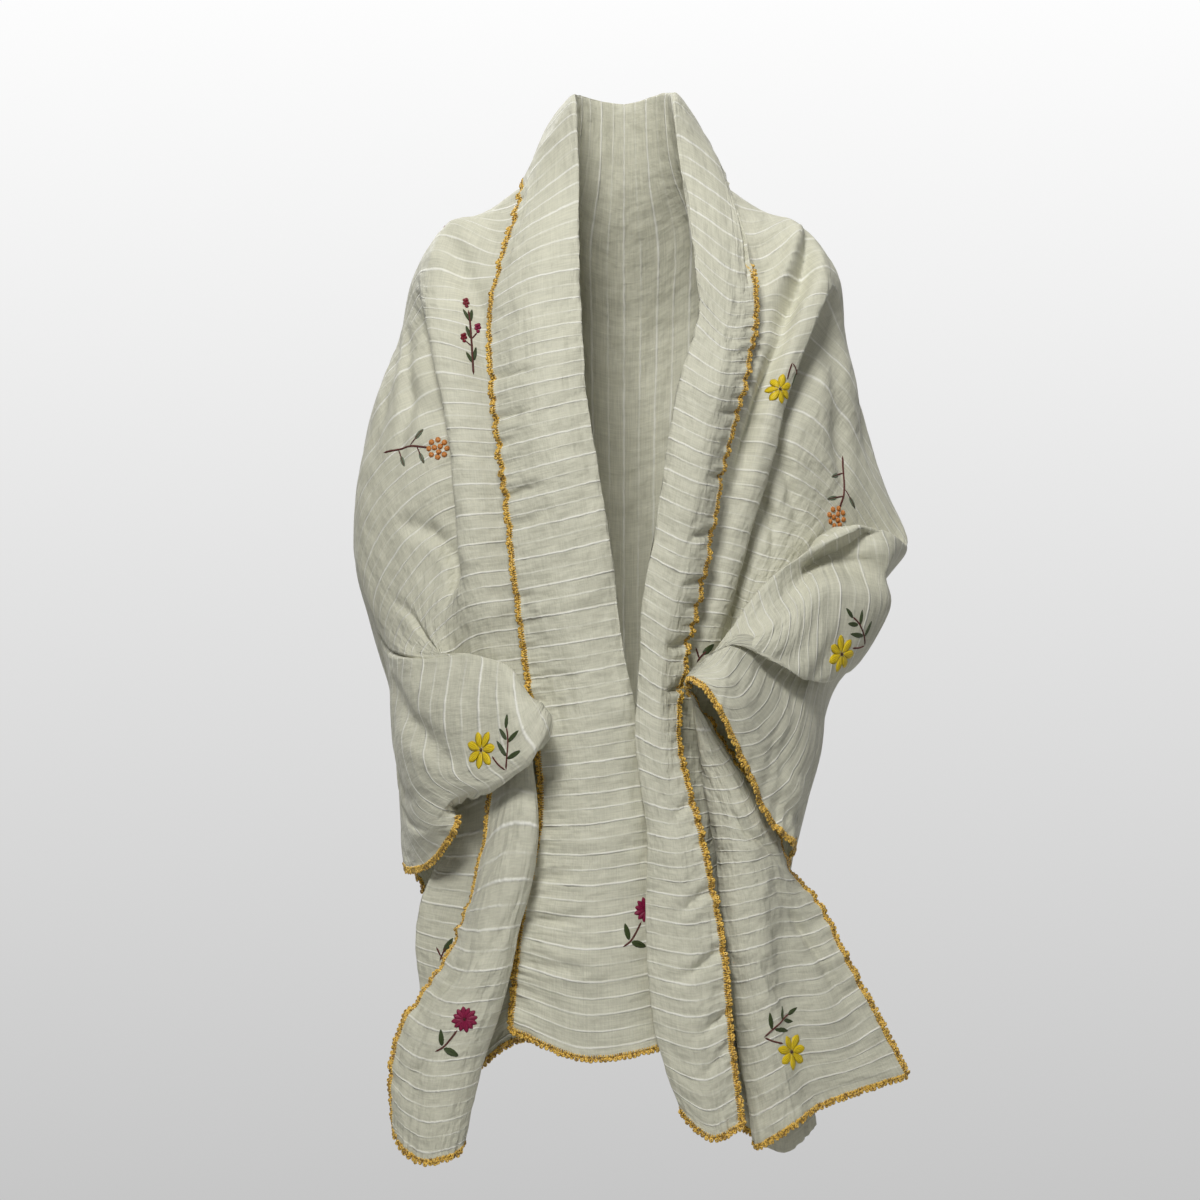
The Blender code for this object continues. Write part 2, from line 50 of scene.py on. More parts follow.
MM = 0.001
CLOSE = 1e-6
TINY = 1e-12
PATTERN = "Cloth"
Array = np.ndarray
Pair = tuple[float, float]
Triple = tuple[float, float, float]
Colour = tuple[float, float, float]
Row = tuple[float, float, float, float]


class Side(Enum):
    """The wearer's two sides, with the sign of x on each."""

    RIGHT = -1
    LEFT = 1


@dataclass(frozen=True)
class Fold:
    """One fold that runs along the cloth.

    Args:
        across: Its distance from the collar's edge, in millimetres.
        guide: Rows of along, x, y, z that it passes through, in millimetres.
    """

    across: float
    guide: tuple[Row, ...]


Folds = dict[str, Fold]
Nape = dict[str, tuple[Row, ...]]


# The collar behind the neck, the same on both sides: along, outward, y, z.
COLLAR_BACK = {
    "collar_edge": ((0, 0, 108, 16), (60, 57, 97, 20), (115, 92, 53, 29)),
    "collar_crown": ((0, 0, 114, 64), (60, 63, 87, 68), (115, 78, 40, 56)),
    "collar_fold": ((0, 0, 90, 102), (60, 43, 63, 107), (108, 46, 22, 92)),
    "under_collar": ((0, 0, 88, 30), (60, 49, 70, 37), (115, 67, 31, 27)),
    "panel": ((0, 0, 106, -42), (60, 68, 90, -10), (115, 102, 50, 14)),
}

# Folds of the wearer's right side: along, x, y, z.
RIGHT_FOLDS = {
    "collar_edge": Fold(0, (
        (150, -98, 5, -2), (230, -119, -44, -86), (340, -119, -92, -178), (460, -105, -118, -288),
        (590, -90, -132, -414), (730, -74, -146, -550), (850, -92, -152, -660),
        (950, -102, -154, -752),
    )),
    "collar_crown": Fold(75, (
        (150, -82, 4, 16), (230, -84, -66, -68), (340, -78, -116, -168), (460, -62, -138, -278),
        (590, -46, -148, -408), (730, -28, -158, -546), (850, -33, -166, -668), (950, -34, -170, -776),
    )),
    "collar_fold": Fold(150, (
        (150, -44, 0, 44), (230, -42, -56, -58), (340, -37, -106, -160), (460, -22, -128, -268),
        (590, -3, -138, -400), (730, 17, -146, -540), (850, 28, -152, -660), (950, 37, -154, -764),
    )),
    "under_collar": Fold(225, (
        (150, -67, 4, 4), (230, -82, -46, -76), (340, -76, -98, -176), (460, -62, -120, -286),
        (590, -46, -130, -412), (730, -28, -138, -552), (850, -32, -142, -666), (950, -34, -144, -766),
    )),
    "panel": Fold(300, (
        (150, -108, 17, -18), (230, -124, -28, -88), (340, -122, -79, -182),
        (460, -108, -103, -294), (590, -94, -114, -422), (730, -82, -124, -560),
        (850, -92, -130, -672), (950, -98, -130, -764),
    )),
    "pleat_crest": Fold(370, (
        (180, -168, 30, -22), (230, -181, -16, -84), (260, -179, -29, -107), (290, -176, -42, -130),
        (340, -167, -62, -184), (400, -158, -74, -238), (460, -150, -84, -300),
        (530, -141, -92, -370), (590, -134, -92, -430), (640, -124, -94, -478),
        (690, -114, -100, -530), (760, -106, -112, -600), (850, -122, -118, -690),
        (950, -130, -120, -788),
    )),
    "pleat_valley": Fold(450, (
        (180, -190, 58, -54), (230, -196, 14, -82), (245, -191, 7, -91), (260, -185, -3, -103),
        (275, -176, -10, -116), (290, -164, -14, -132), (340, -120, -48, -190),
        (400, -114, -62, -244), (460, -120, -68, -306), (530, -158, -78, -380),
        (590, -152, -74, -446), (640, -146, -76, -500), (690, -142, -82, -556),
        (760, -150, -84, -636), (850, -154, -92, -720), (950, -165, -104, -812),
    )),
    "arm_front": Fold(530, (
        (180, -200, 86, -124), (230, -212, 42, -126), (290, -204, -6, -152), (340, -184, -40, -206),
        (400, -173, -54, -262), (460, -165, -60, -322), (530, -174, -72, -394),
        (590, -158, -88, -438), (640, -147, -92, -492), (690, -160, -78, -572),
        (760, -187, -74, -650), (850, -182, -88, -738), (950, -192, -108, -832),
    )),
    "arm_outer": Fold(615, (
        (180, -194, 106, -240), (230, -230, 68, -204), (290, -238, 20, -214), (340, -242, -8, -260),
        (400, -224, -30, -306), (460, -198, -48, -358), (530, -183, -68, -408),
        (590, -148, -104, -430), (630, -112, -126, -462), (668, -124, -116, -512),
        (690, -126, -114, -562), (760, -140, -108, -658), (850, -162, -120, -745),
        (950, -176, -128, -842),
    )),
    "tuck": Fold(690, (
        (180, -186, 108, -316), (230, -236, 86, -270), (290, -248, 46, -276), (340, -252, 18, -318),
        (400, -242, -10, -352), (460, -218, -34, -392), (530, -188, -70, -418),
        (590, -138, -118, -424), (630, -94, -148, -455), (645, -93, -145, -466),
        (668, -102, -137, -508), (690, -102, -141, -558), (760, -118, -146, -662),
        (850, -139, -140, -752), (950, -154, -142, -846),
    )),
    "ridge": Fold(750, (
        (180, -180, 106, -380), (230, -232, 96, -330), (290, -246, 66, -336), (340, -240, 42, -376),
        (400, -229, 8, -402), (460, -219, -24, -420), (530, -186, -84, -424),
        (590, -127, -138, -421), (615, -101, -158, -432), (630, -88, -160, -453),
        (645, -85, -154, -463), (668, -85, -151, -508), (690, -78, -162, -556),
        (760, -93, -168, -668), (850, -121, -162, -757), (950, -144, -158, -850),
    )),
    "pocket": Fold(785, (
        (180, -177, 102, -418), (230, -228, 100, -366), (290, -236, 72, -374),
        (340, -231, 48, -410), (400, -220, 10, -436), (460, -215, -24, -450),
        (530, -188, -92, -446), (590, -128, -150, -440), (615, -100, -168, -442),
        (630, -85, -168, -455), (645, -80, -159, -462), (668, -85, -156, -507),
        (690, -80, -168, -554), (760, -97, -175, -669), (850, -125, -170, -760),
        (950, -150, -167, -858),
    )),
    "forearm": Fold(820, (
        (180, -174, 98, -456), (230, -224, 104, -402), (290, -228, 78, -410), (340, -221, 52, -446),
        (400, -213, 12, -472), (460, -212, -24, -482), (530, -190, -98, -472),
        (590, -129, -158, -463), (615, -98, -178, -458), (630, -82, -176, -459),
        (645, -77, -163, -462), (668, -89, -158, -505), (690, -88, -170, -552),
        (760, -105, -181, -670), (850, -136, -177, -762), (950, -160, -174, -862),
    )),
    "lip": Fold(880, (
        (180, -168, 94, -520), (230, -216, 108, -466), (290, -217, 82, -476), (340, -214, 52, -510),
        (400, -210, 6, -532), (460, -208, -30, -532), (530, -186, -106, -508),
        (590, -127, -166, -498), (615, -92, -190, -484), (630, -77, -184, -464),
        (645, -74, -167, -462), (668, -95, -156, -503), (690, -100, -166, -552),
        (760, -124, -179, -672), (850, -162, -179, -765), (950, -177, -175, -865),
    )),
    "lip_under": Fold(920, (
        (180, -152, 96, -564), (230, -210, 108, -512), (290, -212, 82, -524), (340, -210, 46, -556),
        (400, -207, -4, -572), (460, -200, -48, -564), (530, -176, -118, -532),
        (590, -120, -174, -516), (615, -86, -195, -495), (630, -73, -190, -471),
        (645, -72, -171, -463), (668, -100, -153, -502), (690, -108, -160, -556),
        (760, -136, -172, -673), (850, -176, -172, -764), (950, -190, -168, -860),
    )),
    "pouch": Fold(960, (
        (180, -144, 98, -612), (230, -204, 106, -560), (290, -206, 76, -572), (340, -207, 34, -590),
        (400, -202, -24, -600), (460, -182, -98, -580), (530, -152, -142, -546),
        (590, -107, -180, -526), (615, -80, -196, -504), (630, -69, -195, -479),
        (645, -70, -175, -465), (668, -105, -149, -502), (690, -115, -152, -562),
        (760, -145, -160, -672), (850, -188, -163, -760), (950, -200, -160, -852),
    )),
    "outer_edge": Fold(1000, (
        (180, -134, 104, -702), (230, -174, 94, -668), (290, -194, 62, -630), (340, -202, 16, -612),
        (400, -195, -44, -615), (440, -174, -92, -604), (475, -153, -126, -574),
        (530, -150, -124, -552), (590, -114, -164, -534), (615, -86, -184, -510),
        (630, -67, -188, -489), (645, -67, -178, -470), (668, -110, -145, -503),
        (690, -122, -142, -570), (760, -151, -147, -670), (850, -200, -151, -752),
        (950, -207, -150, -840),
    )),
}

# Folds of the wearer's left side: along, x, y, z.
LEFT_FOLDS = {
    "collar_edge": Fold(0, (
        (150, 100, 4, -4), (200, 113, -38, -60), (250, 118, -66, -106), (325, 107, -96, -170),
        (412, 87, -114, -253), (500, 70, -127, -338), (590, 52, -136, -424), (655, 46, -152, -486),
        (756, 65, -168, -580), (853, 83, -176, -670), (955, 92, -182, -768), (1010, 99, -184, -822),
    )),
    "collar_crown": Fold(75, (
        (150, 92, 2, 10), (230, 94, -72, -88), (325, 84, -118, -170), (412, 67, -136, -250),
        (500, 50, -147, -336), (590, 34, -155, -422), (655, 30, -162, -486), (756, 44, -174, -584),
        (853, 55, -184, -674), (955, 64, -190, -778), (1010, 74, -190, -832),
    )),
    "collar_fold": Fold(150, (
        (150, 50, -4, 38), (230, 62, -66, -58), (280, 65, -90, -108), (330, 53, -108, -156),
        (412, 37, -126, -236), (500, 22, -139, -322), (590, 13, -148, -408), (655, 8, -156, -474),
        (756, 19, -164, -580), (853, 17, -172, -668), (955, 30, -178, -766), (1010, 44, -178, -810),
    )),
    "under_collar": Fold(225, (
        (150, 76, 2, -2), (230, 90, -54, -88), (325, 80, -101, -174), (412, 65, -121, -256),
        (500, 49, -132, -340), (590, 33, -142, -426), (655, 28, -148, -490), (756, 44, -157, -586),
        (853, 54, -166, -674), (955, 62, -170, -776), (1010, 72, -170, -828),
    )),
    "panel": Fold(300, (
        (150, 112, 16, -20), (230, 124, -34, -96), (325, 112, -81, -176), (412, 93, -101, -260),
        (500, 75, -114, -346), (590, 60, -124, -432), (655, 58, -126, -496), (756, 70, -130, -590),
        (853, 84, -128, -678), (955, 92, -128, -778), (1010, 98, -128, -828),
    )),
    "pleat_crest": Fold(370, (
        (180, 165, 30, -22), (230, 184, -10, -80), (265, 176, -34, -108), (325, 149, -60, -182),
        (412, 125, -76, -267), (494, 101, -92, -348), (527, 93, -98, -375), (560, 84, -102, -404),
        (610, 76, -106, -448), (650, 76, -109, -492), (690, 82, -112, -526), (790, 88, -111, -614),
        (880, 98, -111, -702), (950, 104, -111, -778), (1010, 112, -111, -840),
    )),
    "pleat_valley": Fold(450, (
        (180, 188, 58, -54), (230, 197, 14, -84), (265, 160, -14, -112), (325, 112, -42, -188),
        (412, 98, -58, -272), (494, 96, -76, -351), (527, 94, -84, -377), (560, 95, -88, -406),
        (592, 92, -94, -430), (610, 90, -99, -446), (650, 93, -99, -490), (690, 102, -97, -524),
        (790, 112, -94, -616), (880, 124, -94, -706), (950, 130, -94, -780), (1010, 138, -94, -850),
    )),
    "arm_front": Fold(530, (
        (180, 198, 86, -124), (230, 209, 46, -126), (265, 200, 6, -146), (325, 166, -42, -206),
        (412, 139, -59, -290), (494, 113, -80, -362), (560, 106, -90, -400), (592, 95, -102, -424),
        (610, 97, -97, -438), (650, 107, -89, -490), (690, 118, -84, -526), (790, 134, -80, -618),
        (880, 146, -78, -708), (950, 154, -76, -782), (1010, 164, -74, -840),
    )),
    "arm_outer": Fold(620, (
        (180, 194, 106, -240), (230, 222, 72, -200), (265, 222, 38, -208), (325, 208, -16, -252),
        (412, 172, -46, -304), (494, 130, -78, -364), (560, 109, -100, -396), (592, 97, -112, -416),
        (610, 99, -108, -432), (650, 112, -103, -492), (690, 122, -100, -530),
        (790, 138, -98, -620), (880, 150, -96, -710), (950, 158, -94, -784), (1010, 168, -92, -838),
    )),
    "tuck": Fold(690, (
        (180, 186, 108, -316), (230, 236, 88, -264), (265, 248, 50, -280), (300, 263, 14, -316),
        (350, 240, -10, -328), (412, 184, -38, -334), (494, 138, -78, -376), (560, 108, -108, -402),
        (592, 92, -124, -412), (610, 89, -126, -426), (628, 89, -124, -456), (650, 93, -121, -494),
        (690, 100, -120, -530), (790, 112, -124, -618), (880, 122, -124, -706),
        (950, 130, -122, -782), (1010, 140, -118, -856),
    )),
    "ridge": Fold(750, (
        (180, 180, 106, -380), (230, 240, 96, -326), (265, 254, 58, -330), (300, 262, 4, -326),
        (350, 233, -46, -306), (390, 200, -66, -308), (440, 158, -84, -330), (494, 127, -104, -354),
        (560, 94, -128, -392), (592, 80, -140, -413), (610, 72, -144, -427), (628, 67, -143, -456),
        (650, 66, -141, -494), (690, 70, -142, -528), (790, 80, -144, -614), (880, 90, -145, -702),
        (950, 100, -142, -778), (1010, 112, -136, -843),
    )),
    "pocket": Fold(785, (
        (180, 177, 102, -418), (230, 232, 100, -362), (265, 236, 62, -368), (300, 238, -6, -352),
        (350, 240, -50, -336), (390, 196, -44, -332), (440, 160, -80, -348), (494, 132, -112, -372),
        (560, 95, -140, -404), (592, 77, -150, -419), (610, 68, -152, -430), (628, 63, -150, -457),
        (650, 64, -148, -495), (690, 72, -151, -530), (790, 82, -155, -614), (880, 93, -156, -702),
        (950, 104, -152, -778), (1010, 115, -145, -846),
    )),
    "forearm": Fold(820, (
        (180, 174, 98, -456), (230, 224, 104, -396), (265, 229, 66, -400), (300, 236, -4, -386),
        (350, 238, -48, -372), (412, 184, -92, -362), (494, 140, -124, -388), (560, 97, -154, -412),
        (592, 74, -162, -423), (610, 62, -160, -433), (628, 59, -156, -458), (650, 66, -154, -495),
        (690, 79, -158, -531), (790, 93, -164, -612), (880, 105, -165, -700),
        (950, 117, -160, -774), (1010, 128, -151, -838),
    )),
    "lip": Fold(880, (
        (180, 158, 95, -500), (230, 197, 104, -442), (265, 202, 62, -440), (300, 215, 4, -424),
        (350, 207, -44, -433), (395, 184, -84, -443), (440, 162, -118, -442),
        (494, 128, -152, -424), (545, 94, -168, -409), (592, 68, -174, -424), (610, 56, -168, -436),
        (628, 58, -162, -460), (650, 72, -158, -495), (690, 88, -161, -530), (730, 101, -163, -566),
        (790, 115, -164, -608), (880, 124, -162, -694), (950, 137, -157, -764),
        (1010, 150, -149, -824),
    )),
    "lip_under": Fold(920, (
        (180, 150, 96, -556), (230, 184, 98, -482), (265, 190, 58, -470), (300, 192, 8, -452),
        (350, 190, -32, -440), (395, 174, -66, -428), (440, 156, -100, -426),
        (494, 125, -136, -409), (545, 94, -156, -401), (592, 64, -177, -429), (610, 54, -173, -438),
        (628, 60, -165, -461), (650, 76, -158, -494), (690, 96, -159, -528), (730, 112, -158, -562),
        (790, 130, -150, -604), (880, 137, -146, -690), (950, 150, -141, -758),
        (1010, 168, -133, -814),
    )),
    "pouch": Fold(960, (
        (180, 142, 98, -612), (230, 170, 96, -562), (265, 175, 56, -534), (300, 178, 2, -516),
        (350, 176, -64, -512), (405, 156, -132, -520), (438, 140, -152, -505),
        (478, 120, -170, -480), (521, 98, -188, -452), (553, 84, -194, -434), (592, 60, -182, -433),
        (610, 52, -177, -441), (628, 62, -164, -462), (650, 80, -156, -492), (692, 101, -156, -524),
        (730, 117, -152, -554), (776, 137, -136, -594), (880, 166, -130, -688),
        (950, 188, -124, -756), (1010, 208, -118, -802),
    )),
    "outer_edge": Fold(1000, (
        (180, 133, 104, -702), (205, 144, 101, -690), (230, 152, 96, -668), (265, 154, 52, -622),
        (300, 155, -8, -600), (350, 151, -90, -584), (405, 144, -147, -580), (438, 126, -160, -561),
        (478, 110, -177, -525), (521, 92, -192, -487), (553, 78, -202, -458), (580, 62, -196, -440),
        (605, 53, -180, -442), (628, 64, -158, -463), (650, 81, -150, -487), (692, 100, -150, -518),
        (730, 118, -147, -543), (776, 140, -126, -591), (790, 145, -122, -606),
        (823, 166, -114, -632), (890, 194, -114, -687), (966, 229, -105, -752),
        (1010, 250, -100, -791),
    )),
}


@dataclass(frozen=True)
class BackHang:
    """How the back hangs from the nape, in millimetres.

    Args:
        width: The cloth's width.
        neck: Where across the cloth it turns down from the collar.
        yoke: Where across it starts to taper and to flute.
        nape_drop: How far below the neck's base it turns down.
        depth: How far back it hangs.
        flute_depth: How deep the flutes are at the hem.
        flute_pitch: The distance between flutes.
        taper: How much narrower it is at the hem, as a share.
        spread: How far a distance along goes outward at the yoke, as a share.
        stations: The distances along that it is laid out at.
        rise: How much higher each is than the centre back, over the yoke.
        turn: How far forward each comes there.
        rise_lost: How much of the rise is gone at the hem, as a share.
        turn_lost: How fast the turn goes, as a multiple of the hang.
    """

    width: float = 1000.0
    neck: float = 300.0
    yoke: float = 370.0
    nape_drop: float = 42.0
    depth: float = 121.0
    flute_depth: float = 13.0
    flute_pitch: float = 120.0
    taper: float = 0.42
    spread: float = 1.17
    stations: tuple[float, ...] = (0, 60, 120)
    rise: tuple[float, ...] = (0, 28, 92)
    turn: tuple[float, ...] = (0, 8, 46)
    rise_lost: float = 0.8
    turn_lost: float = 3.0

    def rows(self, across: float) -> list[Row]:
        """The rows of one fold's guide on the back.

        Args:
            across: The distance from the collar's edge.

        Returns:
            Each station's along, outward, y and z.
        """
        hang = (across - self.yoke) / (self.width - self.yoke)
        low = max(hang, 0.0)
        made = []
        for along, rise, turn in zip(self.stations, self.rise, self.turn):
            flute = self.flute_depth * math.cos(math.tau * along / self.flute_pitch) * low
            y = self.depth + flute - turn * (1 - min(low * self.turn_lost, 1.0))
            z = rise * (1 - self.rise_lost * low) - self.nape_drop - (across - self.neck)
            made.append((along, along * (self.spread - self.taper * hang), y, z))
        return made


def unit(vectors: Array) -> Array:
    """Vectors of length 1, along the last axis."""
    return vectors / (np.linalg.norm(vectors, axis=-1, keepdims=True) + TINY)


def dot(first: Array, second: Array) -> Array:
    """The dot products of rows of vectors."""
    return np.sum(first * second, axis=-1)


def cells(knots: Array, places: Array) -> tuple[Array, Array]:
    """The number of the knot before each place, and how far it is to the next one, from 0 to 1."""
    cell = np.clip(np.searchsorted(knots, places, side="right") - 1, 0, len(knots) - 2)
    return cell, ((places - knots[cell]) / (knots[cell + 1] - knots[cell]))[:, None]


def slopes(knots: Array, points: Array) -> Array:
    """The tangents of a smooth curve through points.

    Args:
        knots: The curve's parameter at each point.
        points: The points, in the last two axes.

    Returns:
        The tangent at each point.
    """
    steps = np.diff(knots)[..., None]
    rates = np.diff(points, axis=-2) / steps
    before, after = rates[..., :-1, :] * steps[..., 1:, :], rates[..., 1:, :] * steps[..., :-1, :]
    inner = (before + after) / (steps[..., 1:, :] + steps[..., :-1, :])
    return np.concatenate([rates[..., :1, :], inner, rates[..., -1:, :]], axis=-2)


def hermite(start: Array, stop: Array, leave: Array, arrive: Array, part: Array) -> Array:
    """A point part of the way along a cubic.

    Args:
        start: Where the cubic begins.
        stop: Where it ends.
        leave: Its tangent at the start.
        arrive: Its tangent at the end.
        part: How far along, from 0 to 1.

    Returns:
        The points.
    """
    square, cube = part * part, part * part * part
    return (
        (2 * cube - 3 * square + 1) * start
        + (cube - 2 * square + part) * leave
        + (3 * square - 2 * cube) * stop
        + (cube - square) * arrive
    )


def curve_at(knots: Array, points: Array, places: Array) -> Array:
    """Places on a smooth curve through points.

    Args:
        knots: The curve's parameter at each point.
        points: The points.
        places: The parameters to work out.

    Returns:
        The curve's points there.
    """
    tangents = slopes(knots, points)
    cell, part = cells(knots, places)
    width = (knots[cell + 1] - knots[cell])[:, None]
    leave, arrive = tangents[cell] * width, tangents[cell + 1] * width
    return hermite(points[cell], points[cell + 1], leave, arrive, part)


class Ripple:
    """Smooth uneven waves from a few sines at seeded angles."""

    def __init__(self, seed: int, length_along: float, length_across: float, waves: int = 7) -> None:
        """Chooses the waves.

        Args:
            seed: The seed of the choice.
            length_along: The typical wave length along the cloth, in millimetres.
            length_across: The typical wave length across it.
            waves: How many sines are added.
        """
        pick = np.random.default_rng(seed)
        turn = pick.uniform(0, math.tau, waves)
        size = pick.uniform(0.6, 1.5, waves)
        self.along = math.tau * np.cos(turn) * size / length_along
        self.across = math.tau * np.sin(turn) * size / length_across
        self.phase = pick.uniform(0, math.tau, waves)

    def at(self, along: Array, across: Array) -> Array:
        """The wave's height, about -1 to 1.

        Args:
            along: Distances along, in millimetres.
            across: Distances across, as many.

        Returns:
            The heights.
        """
        total = np.zeros(along.shape)
        for over, up, phase in zip(self.along, self.across, self.phase):
            total = total + np.sin(over * along + up * across + phase)
        return total / math.sqrt(len(self.phase) * 2)


@dataclass(frozen=True)
class Crease:
    """A soft trough, or a ridge where its depth is negative, in millimetres.

    Args:
        along_from: Where it starts.
        across_from: Where it starts.
        along_to: Where it ends.
        across_to: Where it ends.
        width: Half its width.
        depth: How deep it is at its middle.
        bow: How far its middle is off the straight line.
        lip: How strong the low rise beside it is, as a share of the depth.
    """

    along_from: float
    across_from: float
    along_to: float
    across_to: float
    width: float
    depth: float
    bow: float = 0.0
    lip: float = 0.35

    def height(self, along: Array, across: Array) -> Array:
        """How far it moves the cloth out.

        Args:
            along: Distances along, in millimetres.
            across: Distances across, as many.

        Returns:
            The heights.
        """
        run, rise = self.along_to - self.along_from, self.across_to - self.across_from
        length = math.hypot(run, rise)
        over, up = along - self.along_from, across - self.across_from
        part = (over * run + up * rise) / (length * length)
        off = (up * run - over * rise) / length - self.bow * 4 * part * (1 - part)
        ends = np.clip(np.sin(math.pi * np.clip(part, 0, 1)), 0, 1) ** 0.7
        square = (off / self.width) ** 2
        return -self.depth * ends * ((1 + self.lip) * np.exp(-square) - self.lip * np.exp(-square / 5))


class Relief:
    """What the fold tables leave out: creases, puckers at the edges and the cloth's crinkle."""

    # The waves' heights in millimetres, and how even the crinkle is.
    SWAY, BILLOW, CRINKLE, EVEN = 1.7, 1.1, 0.55, 0.6

    def __init__(self, creases: tuple[Crease, ...], ends: Pair, width: float) -> None:
        """Sets up the waves.

        Args:
            creases: The listed creases.
            ends: The along of the right and the left end.
            width: The cloth's width.
        """
        self.creases = creases
        self.ends = ends
        self.width = width
        self.sway = Ripple(11, 160, 220)
        self.billow = Ripple(12, 70, 150)
        self.crinkle = Ripple(13, 17, 90, 11)
        self.bunch = Ripple(14, 60, 400)

    def puckers(self, place: Array, inward: Array, seed: float, pitch: float, depth: float) -> Array:
        """Small gathers square to an edge.

        Args:
            place: The distance along the edge.
            inward: The distance in from the edge.
            seed: A number that shifts the pattern.
            pitch: The mean distance between gathers.
            depth: Their height at the edge.

        Returns:
            The height.
        """
        warp = place + 5 * np.sin(place / 23 + seed) + 3 * np.sin(place / 9.3 + 2 * seed)
        size = 0.55 + 0.45 * np.sin(place / 31 + 3 * seed) * np.sin(place / 17 + seed)
        turns = math.tau * warp / pitch
        wave = np.sin(turns) + 0.5 * np.sin(turns / 0.55 + seed)
        reach = 16 + 22 * (0.5 + 0.5 * np.sin(place / 13 + 5 * seed)) ** 2
        return depth * size * wave * np.exp(-((np.maximum(inward, 0) / reach) ** 1.3))

    def height(self, along: Array, across: Array) -> Array:
        """How far the cloth stands out from the folds' surface.

        Args:
            along: Distances along, in millimetres.
            across: Distances across, as many.

        Returns:
            The heights, in millimetres.
        """
        total = self.SWAY * self.sway.at(along, across) + self.BILLOW * self.billow.at(along, across)
        crumple = self.EVEN + (1 - self.EVEN) * self.bunch.at(along, across)
        total = total + self.CRINKLE * self.crinkle.at(along, across) * crumple
        for crease in self.creases:
            total = total + crease.height(along, across)
        for edge in (
            (along, across, 1.0, 19, 2.4),
            (along, self.width - across, 2.2, 21, 2.0),
            (across, along - self.ends[0], 0.4, 18, 1.5),
            (across, self.ends[1] - along, 3.1, 18, 1.5),
        ):
            total = total + self.puckers(*edge)
        return total


class DrapedCloth:
    """The worn cloth as a surface over along and across."""

    def __init__(self, sides: dict[Side, Folds], collar: Nape, hang: BackHang, relief: Relief) -> None:
        """Gathers the folds of both sides, each with the back and one row of the other side.

        Args:
            sides: Each side's folds by name, in order across.
            collar: The collar's rows behind the neck, by fold name.
            hang: How the back hangs.
            relief: What is added to the folds' surface.
        """
        self.relief = relief
        self.levels = np.array([fold.across for fold in sides[Side.LEFT].values()], float)
        self.guides = {side: [] for side in sides}
        for side, folds in sides.items():
            for name, fold in folds.items():
                rows = collar.get(name) or hang.rows(fold.across)
                rows = [(along, side.value * out, y, z) for along, out, y, z in rows]
                along, x, y, z = rows[1]
                self.guides[side].append(np.array([(-along, -x, y, z), *rows, *fold.guide], float))

    def folded(self, along: Array, across: Array) -> Array:
        """The folds' surface with no relief.

        Args:
            along: Signed distances along, in millimetres.
            across: Distances across, as many.

        Returns:
            Points in millimetres.
        """
        made = np.empty((len(along), 3))
        for side in Side:
            mine = (along < 0) if side is Side.RIGHT else (along >= 0)
            if not mine.any():
                continue
            places, back = np.unique(np.abs(along[mine]), return_inverse=True)
            guides = self.guides[side]
            rows = np.stack([curve_at(guide[:, 0], guide[:, 1:], places) for guide in guides], axis=1)
            chords = np.sqrt(np.linalg.norm(np.diff(rows, axis=1), axis=2)) + CLOSE
            knots = np.concatenate([np.zeros((len(rows), 1)), np.cumsum(chords, axis=1)], axis=1)
            tangents = slopes(knots, rows)
            cell, part = cells(self.levels, across[mine])
            width = chords[back, cell][:, None]
            leave, arrive = tangents[back, cell] * width, tangents[back, cell + 1] * width
            made[mine] = hermite(rows[back, cell], rows[back, cell + 1], leave, arrive, part)
        return made

    def shaped(self, along: Array, across: Array, step: float = 2.5) -> Array:
        """The finished surface.

        Args:
            along: Signed distances along, in millimetres.
            across: Distances across, as many.
            step: How far apart the points are that its normals come from.

        Returns:
            Points in millimetres.
        """
        over = self.folded(along + step, across) - self.folded(along - step, across)
        up = self.folded(along, across + step) - self.folded(along, across - step)
        lift = self.relief.height(along, across)[:, None]
        return self.folded(along, across) + unit(np.cross(over, up)) * lift


@dataclass(frozen=True)
class Bias:
    """A stretch of cloth that is pulled on the bias, so that its stripes slant.

    Args:
        along: Where the pull starts and where it is full.
        across: Where it starts, where it turns back and where it ends.
        pull: How far the stripes slant for each millimetre across.
    """

    along: Pair = (0.0, 1.0)
    across: Triple = (0.0, 1.0, 2.0)
    pull: float = 0.0

    def at(self, along: Array, across: Array) -> Array:
        """How far the stripes move along at places on the cloth."""
        most = self.pull * (self.across[2] - self.across[1])
        return np.interp(across, self.across, (0.0, most, 0.0)) * np.interp(along, self.along, (0.0, 1.0))


@dataclass(frozen=True)
class Stretch:
    """A stretch of cloth that is built as one piece.

    Args:
        name: The piece's name.
        along: Where it starts and ends along the cloth.
        across: Where it starts and ends across it.
        nodes: The plain solids that it stands for.
        flat: Its cut size in metres, as much of it as shows; not used.
        bias: How its stripes slant.
    """

    name: str
    along: Pair
    across: Pair
    nodes: tuple[str, ...]
    flat: Pair
    bias: Bias = Bias()


def link(name: str, data: bpy.types.ID) -> bpy.types.Object:
    """Puts a mesh, a lamp or a camera in the scene as an object at the origin.

    Args:
        name: The object's name.
        data: What the object shows.

    Returns:
        The object.
    """
    made = bpy.data.objects.new(name, data)
    bpy.context.scene.collection.objects.link(made)
    return made


